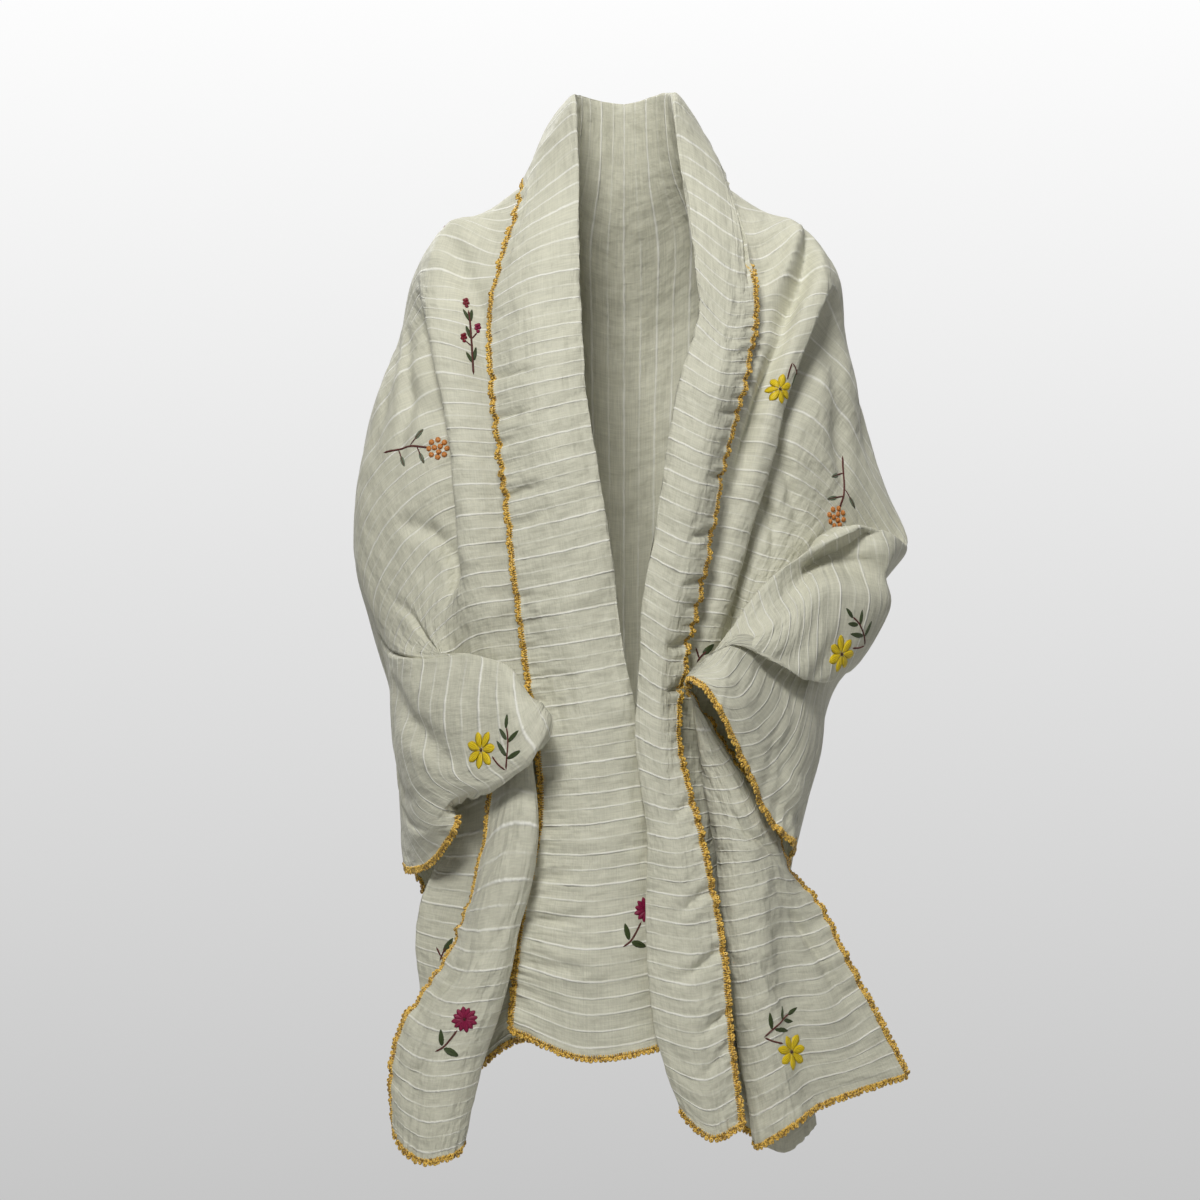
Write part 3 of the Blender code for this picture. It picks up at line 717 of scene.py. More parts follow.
def mesh_of(
    name: str, points: Array, faces: list, uvs: Array | None = None, normals: Array | None = None
) -> bpy.types.Mesh:
    """A smooth mesh from points and faces.

    Args:
        name: The mesh's name.
        points: The points, in metres.
        faces: Tuples of point numbers.
        uvs: Each point's place on the pattern, or None.
        normals: Each point's unit normal, or None for Blender's own.

    Returns:
        The mesh.
    """
    mesh = bpy.data.meshes.new(name)
    mesh.from_pydata(points.tolist(), [], faces)
    if uvs is not None:
        layer = mesh.uv_layers.new(name=PATTERN)
        loops = np.empty(len(mesh.loops), np.int32)
        mesh.loops.foreach_get("vertex_index", loops)
        layer.data.foreach_set("uv", uvs[loops].astype(np.float32).ravel())
    mesh.shade_smooth()
    if normals is not None:
        mesh.normals_split_custom_set_from_vertices(normals.tolist())
    return mesh


@dataclass(frozen=True)
class Easing:
    """A place where a sharp corner of the cloth is rounded off.

    Args:
        along: The middle of the place.
        across: The middle of the place.
        reach: How far it goes along and across, in millimetres.
        rounds: How many times each point moves toward its neighbours.
        share: How far a point at the middle moves each time.
    """

    along: float
    across: float
    reach: Pair
    rounds: int
    share: float = 0.6

    def relax(self, points: Array, over: Array, up: Array) -> Array:
        """Rounds the place off.

        Args:
            points: The cloth's points, row by row.
            over: Each point's along.
            up: Each point's across.

        Returns:
            The moved points.
        """
        off = ((over - self.along) / self.reach[0]) ** 2 + ((up - self.across) / self.reach[1]) ** 2
        share = self.share * np.exp(-off)[..., None]
        for _ in range(self.rounds):
            around = sum(np.roll(points, step, axis) for step in (-1, 1) for axis in (0, 1)) / 4
            points = points + share * (around - points)
        return points


@dataclass
class ClothGrid:
    """The whole cloth measured out finely, so that neighbouring pieces share their border exactly.

    Args:
        cloth: The draped surface.
        ends: The along of the two ends.
        width: The cloth's width.
        easings: The places where it is rounded off.
        spacing: The distance between points, in millimetres.
        thickness: The cloth's thickness, in millimetres.
        alongs: The along of each row of points.
        acrosses: The across of each column.
        points: The measured points, in metres.
        normals: Their unit normals.
    """

    cloth: DrapedCloth
    ends: Pair
    width: float
    easings: tuple[Easing, ...] = ()
    spacing: float = 4.6
    thickness: float = 0.8
    alongs: Array = field(init=False)
    acrosses: Array = field(init=False)
    points: Array = field(init=False)
    normals: Array = field(init=False)

    def measure(self, along_cuts: list[float], across_cuts: list[float]) -> None:
        """Works out every point and normal.

        Args:
            along_cuts: Places along that points must fall on.
            across_cuts: Places across that points must fall on.
        """
        self.alongs = self.spaced([self.ends[0], *along_cuts, self.ends[1]])
        self.acrosses = self.spaced([0.0, *across_cuts, self.width])
        over, up = np.meshgrid(self.alongs, self.acrosses, indexing="ij")
        points = self.cloth.shaped(over.ravel(), up.ravel()) * MM
        self.points = points.reshape(*over.shape, 3)
        for easing in self.easings:
            self.points = easing.relax(self.points, over, up)
        tangent = np.gradient(self.points, self.alongs, axis=0)
        bitangent = np.gradient(self.points, self.acrosses, axis=1)
        self.normals = unit(np.cross(tangent, bitangent))

    def spaced(self, cuts: list[float]) -> Array:
        """Even steps that fall on every cut.

        Args:
            cuts: The places, with both ends.

        Returns:
            The steps, in order.
        """
        cuts = sorted(set(cuts))
        runs = [
            np.linspace(low, high, max(2, round((high - low) / self.spacing) + 1))[:-1]
            for low, high in zip(cuts, cuts[1:])
        ]
        return np.concatenate([*runs, [cuts[-1]]])

    def sample(self, along: Array, across: Array) -> tuple[Array, Array]:
        """Reads any places from the measured points round them.

        Args:
            along: Distances along, in millimetres.
            across: Distances across, as many.

        Returns:
            The points in metres, and their unit normals.
        """
        row, over = cells(self.alongs, np.clip(along, self.alongs[0], self.alongs[-1]))
        column, up = cells(self.acrosses, np.clip(across, self.acrosses[0], self.acrosses[-1]))
        found = []
        for values in (self.points, self.normals):
            low = values[row, column] * (1 - over) + values[row + 1, column] * over
            high = values[row, column + 1] * (1 - over) + values[row + 1, column + 1] * over
            found.append(low * (1 - up) + high * up)
        return found[0], unit(found[1])

    def shell(self, stretch: Stretch) -> bpy.types.Mesh:
        """A thin closed shell over one stretch.

        Args:
            stretch: The stretch to build.

        Returns:
            The mesh.
        """
        first, last = np.searchsorted(self.alongs, np.array(stretch.along) - CLOSE)
        low, high = np.searchsorted(self.acrosses, np.array(stretch.across) - CLOSE)
        part = (slice(first, last + 1), slice(low, high + 1))
        over, up = np.meshgrid(self.alongs[part[0]], self.acrosses[part[1]], indexing="ij")
        rows, columns = over.shape
        points, normals = self.points[part].reshape(-1, 3), self.normals[part].reshape(-1, 3)
        half = self.thickness / 2 * MM * normals
        under = rows * columns
        faces = []
        for corner in (row * columns + column for row in range(rows - 1) for column in range(columns - 1)):
            a, b, c, d = corner, corner + columns, corner + columns + 1, corner + 1
            faces += [(a, b, c, d), (under + a, under + d, under + c, under + b)]
        rim = [row * columns for row in range(rows)]
        rim += [(rows - 1) * columns + column for column in range(1, columns)]
        rim += [row * columns + columns - 1 for row in range(rows - 2, -1, -1)]
        rim += list(range(columns - 2, 0, -1))
        faces += [(there, here, under + here, under + there) for here, there in zip(rim, rim[1:] + rim[:1])]
        over = over + stretch.bias.at(over, up)
        places = np.stack([over.ravel(), up.ravel()], axis=1) * MM
        both = np.concatenate([points + half, points - half])
        twice = np.concatenate([places, places])
        return mesh_of(stretch.name, both, faces, twice, np.concatenate([normals, -normals]))


class Value:
    """A shader socket that takes part in sums, so that each operator adds a Math node."""

    def __init__(self, maker: "NodeMaker", socket: bpy.types.NodeSocket) -> None:
        """Wraps a socket of a tree."""
        self.maker = maker
        self.socket = socket

    def math(self, operation: str, *others: "Value | float") -> "Value":
        """A Math node of this value and others."""
        values = dict(enumerate((self, *others)))
        return Value(self.maker, self.maker.made("ShaderNodeMath", {"operation": operation}, values))

    def __add__(self, other: "Value | float") -> "Value":
        """The sum."""
        return self.math("ADD", other)

    def __mul__(self, other: "Value | float") -> "Value":
        """The product."""
        return self.math("MULTIPLY", other)

    __radd__, __rmul__ = __add__, __mul__

    def __sub__(self, other: "Value | float") -> "Value":
        """The difference."""
        return self.math("SUBTRACT", other)

    def __rsub__(self, other: float) -> "Value":
        """A number less this value."""
        return self.math("MULTIPLY", -1.0).math("ADD", other)

    def __truediv__(self, other: "Value | float") -> "Value":
        """The quotient."""
        return self.math("DIVIDE", other)

    def ramp(self, low: float, high: float, start: float = 0.0, stop: float = 1.0) -> "Value":
        """A smooth clamped change as this value rises.

        Args:
            low: Where the change begins.
            high: Where it ends.
            start: The result at its beginning.
            stop: The result at its end.

        Returns:
            The result.
        """
        settings = {"interpolation_type": "SMOOTHSTEP"}
        values = {"Value": self, "From Min": low, "From Max": high, "To Min": start, "To Max": stop}
        return Value(self.maker, self.maker.made("ShaderNodeMapRange", settings, values))


class NodeMaker:
    """Adds nodes to a tree."""

    def __init__(self, tree: bpy.types.NodeTree) -> None:
        """Starts on a tree."""
        self.tree = tree

    def node(self, kind: str, settings: dict, values: dict) -> bpy.types.Node:
        """Adds a node.

        Args:
            kind: The node's type.
            settings: Its properties, set first; "stops" are a ramp's places and colours.
            values: What its sockets hold or are linked to, by name or by number.

        Returns:
            The node.
        """
        made = self.tree.nodes.new(kind)
        for key, setting in settings.items():
            if key == "stops":
                elements = made.color_ramp.elements
                while len(elements) < len(setting):
                    elements.new(0.5)
                for element, (place, colour) in zip(elements, setting):
                    element.position = place
                    element.color = (*colour, 1.0)
            else:
                setattr(made, key, setting)
        for key, value in values.items():
            named = [socket for socket in made.inputs if socket.enabled and socket.name == key]
            self.feed(named[0] if named else made.inputs[key], value)
        return made

    def made(self, kind: str, settings: dict, values: dict) -> bpy.types.NodeSocket:
        """Adds a node and gives its first output that is in use."""
        return next(socket for socket in self.node(kind, settings, values).outputs if socket.enabled)

    def feed(self, socket: bpy.types.NodeSocket, value: object) -> None:
        """Links a value to a socket, or sets it there.

        Args:
            socket: The socket.
            value: A value, another socket, a number or a tuple.
        """
        if isinstance(value, Value):
            self.tree.links.new(value.socket, socket)
        elif isinstance(value, bpy.types.NodeSocket):
            self.tree.links.new(value, socket)
        elif socket.type == "RGBA":
            socket.default_value = (*value, 1.0)
        else:
            socket.default_value = value


class Finish(NodeMaker):
    """A material's node tree."""

    def __init__(self, name: str, base: Colour, roughness: float) -> None:
        """Starts a Principled material.

        Args:
            name: The material's name.
            base: Its mean colour, linear.
            roughness: Its mean roughness.
        """
        self.material = bpy.data.materials.new(name)
        self.material.use_nodes = True
        super().__init__(self.material.node_tree)
        self.material.diffuse_color = (*base, 1.0)
        self.dress(Base_Color=base, Roughness=roughness)

    def place(self) -> tuple[Value, Value, bpy.types.NodeSocket]:
        """The piece's own pattern.

        Returns:
            The places along and across it and the whole vector, in metres.
        """
        uv = self.made("ShaderNodeUVMap", {"uv_map": PATTERN}, {})
        parts = self.node("ShaderNodeSeparateXYZ", {}, {"Vector": uv})
        return Value(self, parts.outputs["X"]), Value(self, parts.outputs["Y"]), uv

    def noise(self, vector: object, scale: float, detail: float = 2.0, rough: float = 0.5) -> Value:
        """A noise between 0 and 1, as fine as its scale, with so many finer layers of some strength."""
        values = {"Vector": vector, "Scale": scale, "Detail": detail, "Roughness": rough}
        return Value(self, self.made("ShaderNodeTexNoise", {}, values))

    def grain(
        self, place: object, along: float, across: float, detail: float = 2.0, rough: float = 0.5
    ) -> Value:
        """A noise with its own fineness along the cloth and across it."""
        spread = self.made("ShaderNodeMapping", {}, {"Vector": place, "Scale": (along, across, 1.0)})
        return self.noise(spread, 1.0, detail, rough)

    def mix(self, factor: Value | float, first: object, second: object) -> bpy.types.NodeSocket:
        """A colour between two, the second where the factor is 1."""
        return self.made("ShaderNodeMix", {"data_type": "RGBA"}, {0: factor, 6: first, 7: second})

    def bump(
        self, height: Value, strength: float, distance: float, under: bpy.types.NodeSocket | None = None
    ) -> bpy.types.NodeSocket:
        """A normal from a height that is scaled to a distance in metres, over another normal if any."""
        values = {"Height": height, "Strength": strength, "Distance": distance}
        return self.made("ShaderNodeBump", {}, values if under is None else values | {"Normal": under})

    def dress(self, **values: object) -> bpy.types.Material:
        """Feeds the shader's sockets.

        Args:
            **values: What each holds or is linked to, with _ for a space in its name.

        Returns:
            The material.
        """
        for key, value in values.items():
            self.feed(self.tree.nodes["Principled BSDF"].inputs[key.replace("_", " ")], value)
        return self.material


@dataclass(frozen=True)
class SlubSilk:
    """Ivory silk with fine white woven stripes and slubs.

    Args:
        pitch: The distance between stripes, in metres.
        lines: The widths of the strong and the faint lines, in metres.
        threads: How close the threads lie along and across, in radians a metre.
        ground: The cloth's colour.
        shade: Its colour between threads.
        stripe: The stripes' colour.
    """

    pitch: float = 0.0134
    lines: Pair = (0.0015, 0.0013)
    threads: Pair = (2600.0, 2400.0)
    ground: Colour = (0.68, 0.665, 0.528)
    shade: Colour = (0.535, 0.525, 0.412)
    stripe: Colour = (0.90, 0.89, 0.80)

    def line(self, place: Value, offset: float, width: float) -> Value:
        """A line of a half width that repeats every two pitches, 1 at its middle."""
        turns = place / (2 * self.pitch) + offset
        return turns.math("PINGPONG", 0.5).ramp(0.0, width / (2 * self.pitch), 1.0, 0.0)

    def material(self) -> bpy.types.Material:
        """Builds the material.

        Returns:
            The material.
        """
        silk = Finish("Slub silk", self.ground, 0.6)
        along, across, place = silk.place()
        drift = silk.grain(place, 18.0, 6.0)
        shiver = silk.grain(place, 90.0, 60.0)
        wandered = along + ((drift - 0.5) * 0.0032 + (shiver - 0.5) * 0.0016)
        strong, faint = self.line(wandered, 0.0, self.lines[0]), self.line(wandered, 0.5, self.lines[1])
        slub = silk.grain(place, 60.0, 14.0, 3.0)
        line = strong * slub.ramp(0.3, 0.6, 0.55, 1.0) + faint * slub.ramp(0.38, 0.66, 0.2, 0.8)
        weft = silk.grain(place, 900.0, 28.0, 2.0, 0.6)
        warp = silk.grain(place, 30.0, 800.0, 2.0, 0.6)
        weave = weft * 0.6 + warp * 0.4
        cloud = silk.grain(place, 22.0, 30.0, 3.0)
        light = weave.ramp(0.35, 0.65) * 0.75 + cloud.ramp(0.3, 0.7) * 0.25
        colour = silk.mix(line * 0.92, silk.mix(light, self.shade, self.ground), self.stripe)
        wefts, warps = ((part * close).math("SINE") for part, close in zip((along, across), self.threads))
        fine = weave * 0.4 + wefts * 0.12 + warps * 0.1
        gather = silk.grain(place, 70.0, 20.0, 2.0, 0.45)
        crumple = silk.grain(place, 34.0, 46.0, 4.0)
        pucker = silk.grain(place, 150.0, 20.0, 1.0, 0.4) * across.ramp(0.0, 0.07, 1.0, 0.0)
        soft = silk.bump(gather * 0.5 + crumple * 0.5 + pucker * 0.45, 1.0, 0.007)
        cord = silk.bump(line, 0.8, 0.0008, soft)
        return silk.dress(
            Base_Color=colour,
            Roughness=weft.ramp(0.3, 0.7, 0.5, 0.68) - line * 0.05,
            Normal=silk.bump(fine, 0.35, 0.00025, cord),
            Sheen_Weight=0.08,
            Sheen_Roughness=0.45,
            Specular_IOR_Level=0.3,
        )


@dataclass(frozen=True)
class Floss:
    """A dyed embroidery thread.

    Args:
        name: What the thread is called.
        light: Its colour where the strands catch the light.
        dark: Its colour between strands, painted shade.
        strands: How many strands lie side by side over the pattern's width.
        roughness: How matt it is.
    """

    name: str
    light: Colour
    dark: Colour
    strands: float
    roughness: float = 0.42

    def material(self) -> bpy.types.Material:
        """Builds the material, with the strands along the pattern's first axis.

        Returns:
            The material.
        """
        floss = Finish(self.name, self.light, self.roughness)
        _, side, place = floss.place()
        wobble = floss.grain(place, 3.0, 9.0)
        strand = ((side + wobble * 0.06) * (math.tau * self.strands)).math("SINE") * 0.5 + 0.5
        tone = floss.grain(place, 5.0, self.strands * 2.0)
        # Painted highlight on each strand's crest and painted shade between strands, mixed with a random tone
        # of the thread.
        colour = floss.mix(strand * 0.6 + tone.ramp(0.3, 0.7) * 0.4, self.dark, self.light)
        normal = floss.bump(strand + tone * 0.5, 0.6, 0.0003)
        return floss.dress(Base_Color=colour, Normal=normal, Specular_IOR_Level=0.3)


@dataclass(frozen=True)
class CrochetThread:
    """A shiny round thread, with painted highlights on its turns and painted shade between them.

    Args:
        name: What the thread is called.
        light: Its colour where it catches the light.
        dark: Its colour between the turns, painted shade.
        grain: The size of its painted light and shade places, in metres.
        roughness: How matt it is.
    """

    name: str
    light: Colour
    dark: Colour
    grain: float = 0.0021
    roughness: float = 0.3

    def material(self) -> bpy.types.Material:
        """Builds the material on the piece's own coordinates.

        Returns:
            The material.
        """
        thread = Finish(self.name, self.light, self.roughness)
        place = thread.node("ShaderNodeTexCoord", {}, {}).outputs["Object"]
        turns = thread.noise(place, 1 / self.grain, 1.0)
        twist = thread.noise(place, 3.5 / self.grain, 1.0)
        # Two noises scatter the painted highlights and the painted shade over the thread.
        mixed = turns.ramp(0.38, 0.57) * 0.75 + twist.ramp(0.35, 0.65) * 0.25
        colour = thread.mix(mixed, self.dark, self.light)
        return thread.dress(Base_Color=colour, Normal=thread.bump(twist, 0.5, 0.0003))


class Border(Enum):
    """The four borders of the cloth: the grid's axis, and its outermost and next place on it."""

    COLLAR = (1, 0, 1)
    OUTER = (1, -1, -2)
    RIGHT_END = (0, 0, 1)
    LEFT_END = (0, -1, -2)


@dataclass(frozen=True)
class Stitch:
    """One kind of stitch in the edging, a ring of thread.

    Args:
        spacing: The distance to the next one, as a share of the edging's pitch.
        radius: The ring's radius, in metres.
        points: How many points it has.
        scale: How it is stretched along the border, outward and off the cloth.
        shift: How far it is moved each way, in metres.
        thickness: Its thread, as a share of the edging's.
        uneven: How much the stitches differ.
        turn: How far it is turned about the outward direction, in radians.
    """

    spacing: float
    radius: float
    points: int
    scale: Triple
    shift: Triple
    thickness: float
    uneven: float
    turn: float = 0.0


# The outer loops, the slanted inner row, and the stitches that wrap over the cloth's edge.
PICOT = Stitch(1.0, 0.00112, 8, (1.05, 1.2, 0.9), (0.0, 0.0031, 0.0), 1.25, 0.7)
SLANT = Stitch(0.45, 0.00112, 6, (0.8, 1.45, 1.0), (0.0, 0.0008, 0.0003), 0.95, 0.8)
WHIP = Stitch(0.5, 0.001, 7, (1.0, 1.15, 1.0), (0.0, -0.0004, 0.0), 0.75, 0.7, math.pi / 2)


class CrochetTree(NodeMaker):
    """The geometry nodes that lay an edging's stitches along a path."""

    # How far a stitch leans, in radians, and how much its size varies, as a share.
    LEAN, SPREAD = 0.16, 0.10

    def __init__(self, pitch: float, cord: float, finish: bpy.types.Material) -> None:
        """Builds the tree.

        Args:
            pitch: The distance between the outer loops, in metres.
            cord: The radius of the thread, in metres.
            finish: The thread's material.
        """
        super().__init__(bpy.data.node_groups.new("Crochet edging", "GeometryNodeTree"))
        sockets = self.tree.interface
        sockets.new_socket("Path", in_out="INPUT", socket_type="NodeSocketGeometry")
        for name, size in (("Pitch", pitch), ("Cord", cord)):
            sockets.new_socket(name, in_out="INPUT", socket_type="NodeSocketFloat").default_value = size
        sockets.new_socket("Crochet", in_out="OUTPUT", socket_type="NodeSocketGeometry")
        self.given = self.node("NodeGroupInput", {}, {}).outputs
        curve = self.made("GeometryNodeMeshToCurve", {}, {"Mesh": self.given["Path"]})
        kind, settings = "GeometryNodeInputNamedAttribute", {"data_type": "FLOAT_VECTOR"}
        out, up = (self.made(kind, settings, {"Name": name}) for name in ("outward", "face_up"))
        joined = self.node("GeometryNodeJoinGeometry", {}, {})
        for stitch in (PICOT, SLANT, WHIP):
            self.feed(joined.inputs[0], self.repeated(stitch, curve, out, up))
        real = self.made("GeometryNodeRealizeInstances", {}, {"Geometry": joined.outputs[0]})
        smooth = self.made("GeometryNodeSetShadeSmooth", {}, {"Geometry": real})
        dressed = self.made("GeometryNodeSetMaterial", {}, {"Geometry": smooth, "Material": finish})
        self.node("NodeGroupOutput", {}, {"Crochet": dressed})

    def scaled(self, name: str, factor: float) -> bpy.types.NodeSocket:
        """One of the tree's sizes times a factor."""
        return self.made("ShaderNodeMath", {"operation": "MULTIPLY"}, {0: self.given[name], 1: factor})

    def ring(self, stitch: Stitch) -> bpy.types.NodeSocket:
        """One stitch at the origin.

        Args:
            stitch: The kind of stitch.

        Returns:
            Its mesh.
        """
        kind = "GeometryNodeCurvePrimitiveCircle"
        circle = self.made(kind, {}, {"Resolution": stitch.points, "Radius": stitch.radius})
        turn = (0.0, stitch.turn, 0.0)
        values = {"Geometry": circle, "Translation": stitch.shift, "Rotation": turn, "Scale": stitch.scale}
        moved = self.made("GeometryNodeTransform", {}, values)
        profile = self.made(kind, {}, {"Resolution": 4, "Radius": self.scaled("Cord", stitch.thickness)})
        return self.made("GeometryNodeCurveToMesh", {}, {"Curve": moved, "Profile Curve": profile})

    def chance(self, seed: int, mean: float, spread: Triple) -> bpy.types.NodeSocket:
        """A random vector for each stitch.

        Args:
            seed: The seed.
            mean: The mean of each part.
            spread: How far each part goes to either side.

        Returns:
            The vector.
        """
        low, high = (tuple(mean + sign * part for part in spread) for sign in (-1, 1))
        values = {"Min": low, "Max": high, "Seed": seed}
        return self.made("FunctionNodeRandomValue", {"data_type": "FLOAT_VECTOR"}, values)

    def repeated(
        self, stitch: Stitch, curve: bpy.types.NodeSocket, out: bpy.types.NodeSocket, up: bpy.types.NodeSocket
    ) -> bpy.types.NodeSocket:
        """A row of stitches along the path.

        Args:
            stitch: The kind of stitch.
            curve: The path.
            out: The direction that each stitch's y points.
            up: The direction that its z points.

        Returns:
            The stitches, as instances.
        """
        lean, spread = self.LEAN * stitch.uneven, self.SPREAD * stitch.uneven
        values = {"Curve": curve, "Length": self.scaled("Pitch", stitch.spacing)}
        spaced = self.made("GeometryNodeResampleCurve", {"mode": "LENGTH"}, values)
        settings = {"primary_axis": "Y", "secondary_axis": "Z"}
        values = {"Primary Axis": out, "Secondary Axis": up}
        turned = self.made("FunctionNodeAxesToRotation", settings, values)
        chosen = self.chance(3, 0.0, (lean, lean, 2.4 * lean))
        values = {"Rotation": turned, "Rotate By": self.made("FunctionNodeEulerToRotation", {}, {0: chosen})}
        turned = self.made("FunctionNodeRotateRotation", {"rotation_space": "LOCAL"}, values)
        size = self.chance(7, 1.0, (spread, 1.6 * spread, spread))
        values = {"Points": spaced, "Instance": self.ring(stitch), "Rotation": turned, "Scale": size}
        return self.made("GeometryNodeInstanceOnPoints", {}, values)


@dataclass
class CrochetEdging:
    """A close braid of loops along one border, whipped over the cloth's edge.

    Args:
        name: The piece's name.
        border: Which border it follows.
        nodes: The plain solids that it stands for.
        spans: The stretches of the border that show, in millimetres along or across the cloth.
        tucked: The stretch where the border rolls under and takes the edging with it.
        tuck: How far it goes inward and off the cloth there, in metres.
        tuck_ease: How far along the border it takes to go under, in millimetres.
        pitch: The distance between the outer loops, in metres.
        cord: The radius of the thread, in metres.
    """

    name: str
    border: Border
    nodes: tuple[str, ...]
    spans: tuple[Pair, ...]
    tucked: Pair = (0.0, 0.0)
    tuck: Pair = (0.0065, 0.0026)
    tuck_ease: float = 18.0
    pitch: float = 0.0042
    cord: float = 0.00084

    def path(self, grid: ClothGrid) -> tuple[Array, Array, Array, Array]:
        """The border's line.

        Args:
            grid: The measured cloth.

        Returns:
            Its points, outward directions, face normals and places in millimetres.
        """
        axis, outermost, following = self.border.value
        edge, up = np.take(grid.points, outermost, axis), np.take(grid.normals, outermost, axis)
        out = unit(edge - np.take(grid.points, following, axis))
        run = unit(np.gradient(edge, axis=0))
        out = unit(out - run * dot(out, run)[:, None])
        places = grid.alongs if axis == 1 else grid.acrosses
        (low, high), (inward, off) = self.tucked, self.tuck
        ends = (places - low) / self.tuck_ease, (high - places) / self.tuck_ease
        share = np.clip(ends[0], 0, 1) * np.clip(ends[1], 0, 1)
        return edge + share[:, None] * (up * off - out * inward), out, up, places

    def build(self, grid: ClothGrid, finish: bpy.types.Material) -> None:
        """Builds the edging.

        Args:
            grid: The measured cloth.
            finish: The thread's material.
        """
        edge, out, up, places = self.path(grid)
        mesh = bpy.data.meshes.new(self.name + "_path")
        inside = [(places >= low - CLOSE) & (places <= high + CLOSE) for low, high in self.spans]
        shown = np.any(inside, axis=0)
        steps = [(place, place + 1) for place in np.flatnonzero(shown[:-1] & shown[1:]).tolist()]
        mesh.from_pydata(edge.tolist(), steps, [])
        for name, values in (("outward", out), ("face_up", up)):
            layer = mesh.attributes.new(name, "FLOAT_VECTOR", "POINT")
            layer.data.foreach_set("vector", values.astype(np.float32).ravel())
        holder = link(self.name + "_path", mesh)
        modifier = holder.modifiers.new("Crochet", "NODES")
        modifier.node_group = CrochetTree(self.pitch, self.cord, finish).tree
        for item in modifier.node_group.interface.items_tree:
            if item.in_out == "INPUT" and item.name in ("Pitch", "Cord"):
                modifier[item.identifier] = self.pitch if item.name == "Pitch" else self.cord
        made = bpy.data.meshes.new_from_object(holder.evaluated_get(bpy.context.evaluated_depsgraph_get()))
        made.name = self.name
        bpy.data.objects.remove(holder, do_unlink=True)
        piece = link(self.name, made)
        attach(piece, "root")
        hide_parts(*self.nodes)
        LOG.info("%s: %d faces", self.name, len(made.polygons))


@dataclass
class ShawlCloth:
    """The silk, piece by piece.

    Args:
        grid: The measured cloth.
        stretches: The pieces to build.
        finish: The silk's material.
    """

    grid: ClothGrid
    stretches: tuple[Stretch, ...]
    finish: bpy.types.Material

    def build(self) -> None:
        """Builds every stretch of the silk."""
        for stretch in self.stretches:
            mesh = self.grid.shell(stretch)
            mesh.materials.append(self.finish)
            piece = link(stretch.name, mesh)
            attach(piece, "root")
            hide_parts(*stretch.nodes)
            LOG.info("%s: %d faces", stretch.name, len(mesh.polygons))


class Thread(Enum):
    """The dyed threads of the sprigs."""

    # Each thread's first colour is its painted highlight on the strands and its second its painted shade
    # between them.
    YELLOW = Floss("Yellow floss", (0.94, 0.71, 0.014), (0.50, 0.34, 0.005), 5.0)
    BROWN = Floss("Brown floss", (0.085, 0.028, 0.012), (0.03, 0.010, 0.006), 3.0)
    MAGENTA = Floss("Magenta floss", (0.32, 0.007, 0.062), (0.12, 0.003, 0.025), 4.0)
    RED = Floss("Red floss", (0.25, 0.004, 0.018), (0.09, 0.002, 0.008), 4.0)
    ORANGE = Floss("Orange floss", (0.80, 0.33, 0.08), (0.40, 0.12, 0.025), 4.0)
    STEM = Floss("Stem floss", (0.15, 0.040, 0.030), (0.050, 0.014, 0.012), 2.0, 0.7)
    LEAF = Floss("Leaf floss", (0.062, 0.09, 0.02), (0.016, 0.028, 0.006), 6.0)
    PALE_LEAF = Floss("Pale leaf floss", (0.20, 0.25, 0.16), (0.09, 0.12, 0.07), 6.0)


@dataclass
class Hoop:
    """A flat working place on one face of the cloth, in millimetres with y up.

    Args:
        grid: The measured cloth.
        along: Where its middle is along the cloth.
        across: Where it is across it.
        face: 1 for the face that the normals point from, -1 for the other.
        turn: How far the work is turned, in degrees counterclockwise.
        size: How large the work is.
        mirrored: Whether left and right change places.
        strides: How many strides it takes from the middle to any point.
        reach: How far apart the places are that the cloth's directions come from.
    """

    grid: ClothGrid
    along: float
    across: float
    face: int
    turn: float
    size: float
    mirrored: bool
    strides: int = 8
    reach: float = 3.0

    def stride(self, places: Array, up: Array, step: Array) -> tuple[Array, Array]:
        """Walks a short way over the cloth from each place.

        Args:
            places: Rows of along and across.
            up: Each place's upward direction.
            step: How far each goes rightward and upward, in millimetres.

        Returns:
            The new places, and the upward directions carried along.
        """
        near = (
            self.grid.sample(*(places + self.reach * np.array(way)).T)[0]
            for way in ((1, 0), (-1, 0), (0, 1), (0, -1))
        )
        ahead, behind, above, below = near
        over, rise = (ahead - behind) / (2 * self.reach * MM), (above - below) / (2 * self.reach * MM)
        out = unit(self.face * np.cross(over, rise))
        up = unit(up - out * dot(up, out)[:, None])
        move = np.cross(up, out) * step[:, :1] + up * step[:, 1:]
        wide, slant, tall = dot(over, over), dot(over, rise), dot(rise, rise)
        first, second = dot(move, over), dot(move, rise)
        gone = np.stack([tall * first - slant * second, wide * second - slant * first], axis=1)
        return places + gone / (wide * tall - slant**2 + TINY)[:, None], up

    def lay(self, flat: Array, lift: Array) -> Array:
        """Puts flat points on the cloth.

        Args:
            flat: Rows of x, y in millimetres.
            lift: How far each stands off the cloth's middle, in millimetres.

        Returns:
            Points in metres.
        """
        spin = math.radians(self.turn)
        x, y = flat[:, 0] * self.size * (-1 if self.mirrored else 1), flat[:, 1] * self.size
        turned = [x * math.cos(spin) - y * math.sin(spin), x * math.sin(spin) + y * math.cos(spin)]
        step = np.stack(turned, axis=1) / self.strides
        places = np.tile((self.along, self.across), (len(flat), 1)).astype(float)
        up = np.tile((0.0, 0.0, 1.0), (len(flat), 1))
        for _ in range(self.strides):
            places, up = self.stride(places, up, step)
        points, normals = self.grid.sample(*places.T)
        return points + self.face * normals * (lift * MM)[:, None]


